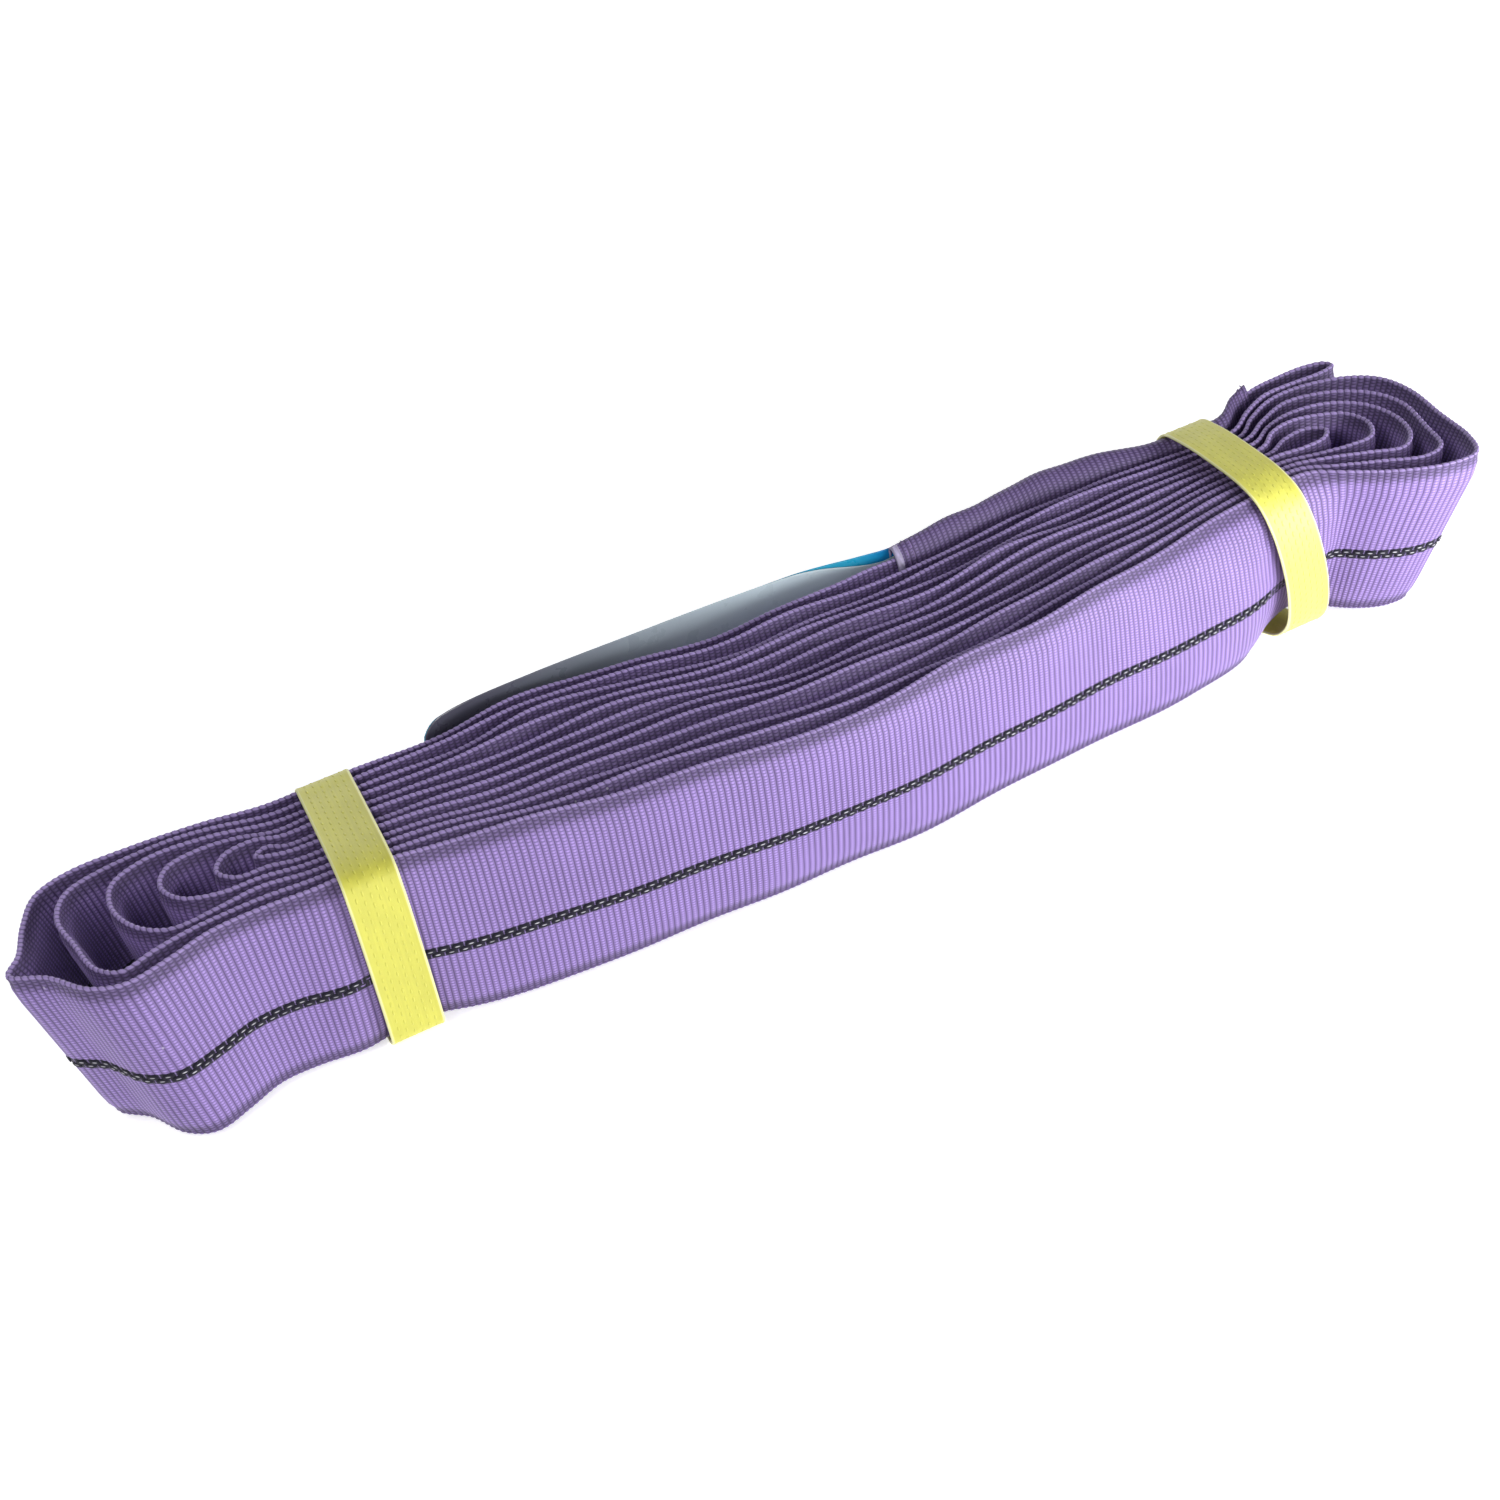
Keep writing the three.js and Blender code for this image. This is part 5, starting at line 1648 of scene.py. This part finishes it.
def strapping_material(name, yellow):
    """Satin strapping with drawn streaks along it, a painted highlight along each edge and fine wear."""
    made, nodes, links = blank_material(name, yellow)
    place = nodes.new("ShaderNodeAttribute")
    place.label = "metres along and across"
    place.attribute_name = "band"
    split = nodes.new("ShaderNodeSeparateXYZ")
    split.label = "along, across"
    links.new(place.outputs["Vector"], split.inputs[0])
    stretch = nodes.new("ShaderNodeMapping")
    stretch.label = "stretch along the band"
    stretch.inputs["Scale"].default_value = (60.0, 1300.0, 1.0)
    links.new(place.outputs["Vector"], stretch.inputs["Vector"])
    drawn = nodes.new("ShaderNodeTexNoise")
    drawn.label = "drawn streaks"
    drawn.inputs["Scale"].default_value = 1.0
    drawn.inputs["Detail"].default_value = 3.0
    links.new(stretch.outputs[0], drawn.inputs["Vector"])
    cloudy = nodes.new("ShaderNodeTexNoise")
    cloudy.label = "cloudy colour"
    cloudy.inputs["Scale"].default_value = 130.0
    cloudy.inputs["Detail"].default_value = 2.0
    links.new(place.outputs["Vector"], cloudy.inputs["Vector"])
    together = nodes.new("ShaderNodeMath")
    together.label = "streaks and clouds"
    together.operation = "ADD"
    links.new(drawn.outputs["Fac"], together.inputs[0])
    links.new(cloudy.outputs["Fac"], together.inputs[1])
    share = nodes.new("ShaderNodeMapRange")
    share.label = "share of the paler yellow"
    share.inputs["From Min"].default_value = 0.7
    share.inputs["From Max"].default_value = 1.3
    links.new(together.outputs[0], share.inputs["Value"])
    yellows = nodes.new("ShaderNodeMix")
    yellows.label = "two yellows"
    yellows.data_type = "RGBA"
    yellows.inputs[6].default_value = (*(0.93 * c for c in yellow), 1)
    yellows.inputs[7].default_value = (*(min(1.0, 1.06 * c) for c in yellow), 1)
    links.new(share.outputs[0], yellows.inputs[0])
    aside = nodes.new("ShaderNodeMath")
    aside.label = "either side of the middle"
    aside.operation = "ABSOLUTE"
    links.new(split.outputs["Y"], aside.inputs[0])
    # painted highlight along each edge of the band
    edge = nodes.new("ShaderNodeMapRange")
    edge.label = "painted highlight along the edges"
    edge.interpolation_type = "SMOOTHSTEP"
    edge.inputs["From Min"].default_value = 0.0066
    edge.inputs["From Max"].default_value = 0.0071
    edge.inputs["To Max"].default_value = 0.55
    links.new(aside.outputs[0], edge.inputs["Value"])
    with_edge_highlight = nodes.new("ShaderNodeMix")
    with_edge_highlight.label = "band with painted edge highlight"
    with_edge_highlight.data_type = "RGBA"
    with_edge_highlight.inputs[7].default_value = (0.93, 0.93, 0.6, 1)
    links.new(edge.outputs[0], with_edge_highlight.inputs[0])
    links.new(yellows.outputs[2], with_edge_highlight.inputs[6])
    satin = nodes.new("ShaderNodeMapRange")
    satin.label = "roughness with streaks"
    satin.inputs["To Min"].default_value = 0.36
    satin.inputs["To Max"].default_value = 0.56
    links.new(drawn.outputs["Fac"], satin.inputs["Value"])
    relief = nodes.new("ShaderNodeBump")
    relief.label = "streaks stand up a little"
    relief.inputs["Strength"].default_value = 0.3
    relief.inputs["Distance"].default_value = 0.0001
    links.new(drawn.outputs["Fac"], relief.inputs["Height"])
    plastic = nodes.new("ShaderNodeBsdfPrincipled")
    plastic.label = "polypropylene"
    plastic.inputs["Specular IOR Level"].default_value = 0.4
    plastic.inputs["Coat Weight"].default_value = 0.25
    plastic.inputs["Coat Roughness"].default_value = 0.35
    plastic.inputs["Subsurface Weight"].default_value = 0.12
    plastic.inputs["Subsurface Radius"].default_value = (0.002, 0.002, 0.0006)
    links.new(with_edge_highlight.outputs[2], plastic.inputs["Base Color"])
    links.new(satin.outputs[0], plastic.inputs["Roughness"])
    links.new(relief.outputs[0], plastic.inputs["Normal"])
    surface = nodes.new("ShaderNodeOutputMaterial")
    links.new(plastic.outputs[0], surface.inputs["Surface"])
    frame_groups(nodes, {
        "place on the band": (place, split, stretch),
        "colour": (drawn, cloudy, together, share, yellows, aside, edge, with_edge_highlight),
        "shader": (satin, relief, plastic, surface),
    })
    return made


def band_place(side, inside, outwards, across, out):
    """Puts a place on the band, given by its inside line, its way out and its section, into the hank."""
    y = inside[..., 0] + outwards[..., 0] * out
    z = np.maximum(inside[..., 1] + outwards[..., 1] * out, 0.0)
    place = STRAP_PLACES[side]
    front_share = np.clip((28 - y) / 50, 0, 1)
    x = place["rear"] + front_share * mix(place["front_foot"], place["front_top"], z / 52) + across
    return np.stack([x, y + CENTRE_SHIFT_Y, z], axis=-1)


def on_band(at):
    """A place on the band's inside line, the way out of it there and how far a lap lifts it."""
    here = np.array([np.interp(at, band_along, inside[:, k]) for k in range(2)])
    out_here = np.array([np.interp(at, band_along, outwards[:, k]) for k in range(2)])
    return here, out_here, np.interp(at, band_along, lifted)


for side, yellow in STRAP_YELLOWS_PAINTED_LIGHT.items():
    outline = np.array(STRAP_OUTLINES[side], float)
    fine = spline(outline, np.arange(0, len(outline), 1 / 40))
    on_rear_face = (fine[:, 0] > 24) & (fine[:, 1] < LAP[1]) & (fine[:, 1] > LAP[0])
    first = int(np.nonzero(on_rear_face)[0][0])
    fine = np.roll(fine, -first, axis=0)
    twice = np.vstack([fine, fine])
    far = np.concatenate([[0.0], np.cumsum(np.linalg.norm(np.diff(twice, axis=0), axis=1))])
    once = far[len(fine)]
    band_length = once + LAP[1] - LAP[0]
    band_along = np.linspace(0, band_length, int(round(band_length / BAND_STEP)) + 1)
    inside = np.stack([np.interp(band_along, far, twice[:, k]) for k in range(2)], axis=1)
    ahead_of = np.gradient(inside, axis=0)
    ahead_of /= np.linalg.norm(ahead_of, axis=1, keepdims=True)
    outwards = np.column_stack([-ahead_of[:, 1], ahead_of[:, 0]])
    lifted = LAP_LIFT * ease(band_along, once - 7, once - 1)
    section = np.array(STRAP_SECTION)
    across = np.broadcast_to(section[:, 0], (len(inside), len(section)))
    out = section[None, :, 1] + lifted[:, None]
    points = band_place(side, inside[:, None, :], outwards[:, None, :], across, out)
    name = f"packing_strap_{side}_band"
    mesh = grid_mesh(name, points, closed=True)
    add_values(mesh, "band", np.stack([np.broadcast_to(band_along[:, None], across.shape), across,
                                       np.zeros(across.shape)], axis=-1) * MM)
    band = plain_object(name, mesh)
    mend(mesh, fill=True, turn_outwards=True)
    mesh.shade_smooth()
    finish_of_band = strapping_material(f"strapping_{side}", yellow)
    mesh.materials.append(finish_of_band)
    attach(band, "hank")
    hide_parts(f"packing_strap_{side}")

    # embossed dashes over the band's outer face, and the fine ridges of its weld
    dash_places, dash_facings, dash_runs = [], [], []
    ridge_places, ridge_facings, ridge_runs = [], [], []
    for number in range(int(band_length / DASH_PITCH)):
        for column, off in enumerate(DASH_COLUMNS):
            at = (number + 0.5 * (column % 2) + 0.3) * DASH_PITCH
            under_lap = at < LAP[1] - LAP[0] + 1
            z_here = np.interp(at, band_along, inside[:, 1])
            welded = at > once and WELD_Z[0] - 1 < z_here < WELD_Z[1] + 1
            if under_lap or welded or at > band_length - 1 or z_here < 1.0:
                continue
            here, out_here, lift_here = on_band(at)
            dash_places.append(band_place(side, here, out_here, off, RAISED_FROM + lift_here))
            dash_facings.append((0, *out_here))
            dash_runs.append((0, out_here[1], -out_here[0]))
    in_lap = band_along > once
    for z_at in np.arange(*WELD_Z, WELD_PITCH):
        here, out_here, lift_here = on_band(float(np.interp(-z_at, -inside[in_lap, 1], band_along[in_lap])))
        ridge_places.append(band_place(side, here, out_here, 0.0, RAISED_FROM + lift_here))
        ridge_facings.append((0, *out_here))
        ridge_runs.append((1, 0, 0))
    for kind, guide_rows, size in (
        ("emboss", (dash_places, dash_facings, dash_runs), DASH_SIZE),
        ("weld", (ridge_places, ridge_facings, ridge_runs), RIDGE_SIZE),
    ):
        raised_points = bead_points(f"{side}_{kind}_points", *guide_rows)
        raised = grown(f"packing_strap_{side}_{kind}", raised_points, laid_beads, Length=size[0] * MM,
                       Width=size[1] * MM, Height=size[2] * MM, Finish=finish_of_band)
        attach(raised, "hank")


# Floor, lights and camera: a pale floor under soft lamps, seen from the front and above.
floor_mesh = bpy.data.meshes.new("floor")
floor_mesh.from_pydata([(-6, -6, 0), (6, -6, 0), (6, 6, 0), (-6, 6, 0)], [], [(0, 1, 2, 3)])
floor = plain_object("floor", floor_mesh)
floor_paint = bpy.data.materials.new("pale_floor")
floor_paint.use_nodes = True
paint = floor_paint.node_tree.nodes["Principled BSDF"].inputs
paint["Base Color"].default_value = (0.9, 0.9, 0.9, 1)
paint["Roughness"].default_value = 0.8
paint["Emission Color"].default_value = (1, 1, 1, 1)
paint["Emission Strength"].default_value = 0.6
floor_mesh.materials.append(floor_paint)

MIDDLE_OF_HANK = (0, 0, 0.03)
LAMPS = {
    "key_lamp": {"at": (1.05, -0.75, 0.42), "size": 0.7, "power": 5.0},
    "near_lamp": {"at": (0.27, -0.36, 0.06), "aim": (0.2, 0, 0.03), "size": 0.25, "power": 2.5},
    "left_lamp": {"at": (-0.42, -0.22, 0.4), "aim": (-0.18, 0, 0.03), "size": 0.3, "power": 1.0},
    "front_lamp": {"at": (-0.2, -1.5, 0.4), "size": 1.0, "power": 6.5},
    "rear_lamp": {"at": (0.3, 1.3, 0.75), "size": 1.5, "power": 14.0},
}
for name, lamp in LAMPS.items():
    light = bpy.data.lights.new(name, "AREA")
    light.shape = "SQUARE"
    light.size = lamp["size"]
    light.energy = lamp["power"]
    held = bpy.data.objects.new(name, light)
    held.location = lamp["at"]
    aim = Vector(lamp.get("aim", MIDDLE_OF_HANK)) - Vector(lamp["at"])
    held.rotation_euler = aim.to_track_quat("-Z", "Y").to_euler()
    bpy.context.scene.collection.objects.link(held)

# Soft light from all round, a little stronger from straight above
world = bpy.data.worlds.new("studio")
world.use_nodes = True
nodes, links = world.node_tree.nodes, world.node_tree.links
ways = nodes.new("ShaderNodeTexCoord")
ways.label = "way into the room"
height = nodes.new("ShaderNodeSeparateXYZ")
height.label = "how far up it points"
links.new(ways.outputs["Generated"], height.inputs[0])
dimming = nodes.new("ShaderNodeMapRange")
dimming.label = "brighter overhead"
dimming.interpolation_type = "SMOOTHSTEP"
dimming.inputs["From Min"].default_value = 0.1
dimming.inputs["From Max"].default_value = 0.75
dimming.inputs["To Min"].default_value = 0.95
dimming.inputs["To Max"].default_value = 1.3
links.new(height.outputs["Z"], dimming.inputs["Value"])
room = nodes["Background"]
room.label = "soft room"
links.new(dimming.outputs[0], room.inputs["Strength"])
for step, node in enumerate((ways, height, dimming)):
    node.location = (-700 + step * 200, 0)
bpy.context.scene.world = world
bpy.context.scene.view_settings.view_transform = "Standard"

lens = bpy.data.cameras.new("camera")
lens.lens = 57.6
lens.sensor_width = 36.0
camera = bpy.data.objects.new("camera", lens)
bpy.context.scene.collection.objects.link(camera)
right = Vector((0.86957, -0.47689, -0.12814))
up = Vector((0.36976, 0.45683, 0.80907))
back = right.cross(up)
turned = Matrix((right, up, back)).transposed().to_4x4()
camera.matrix_world = Matrix.Translation((-0.2326, -0.4953, 0.4058)) @ turned
bpy.context.scene.camera = camera
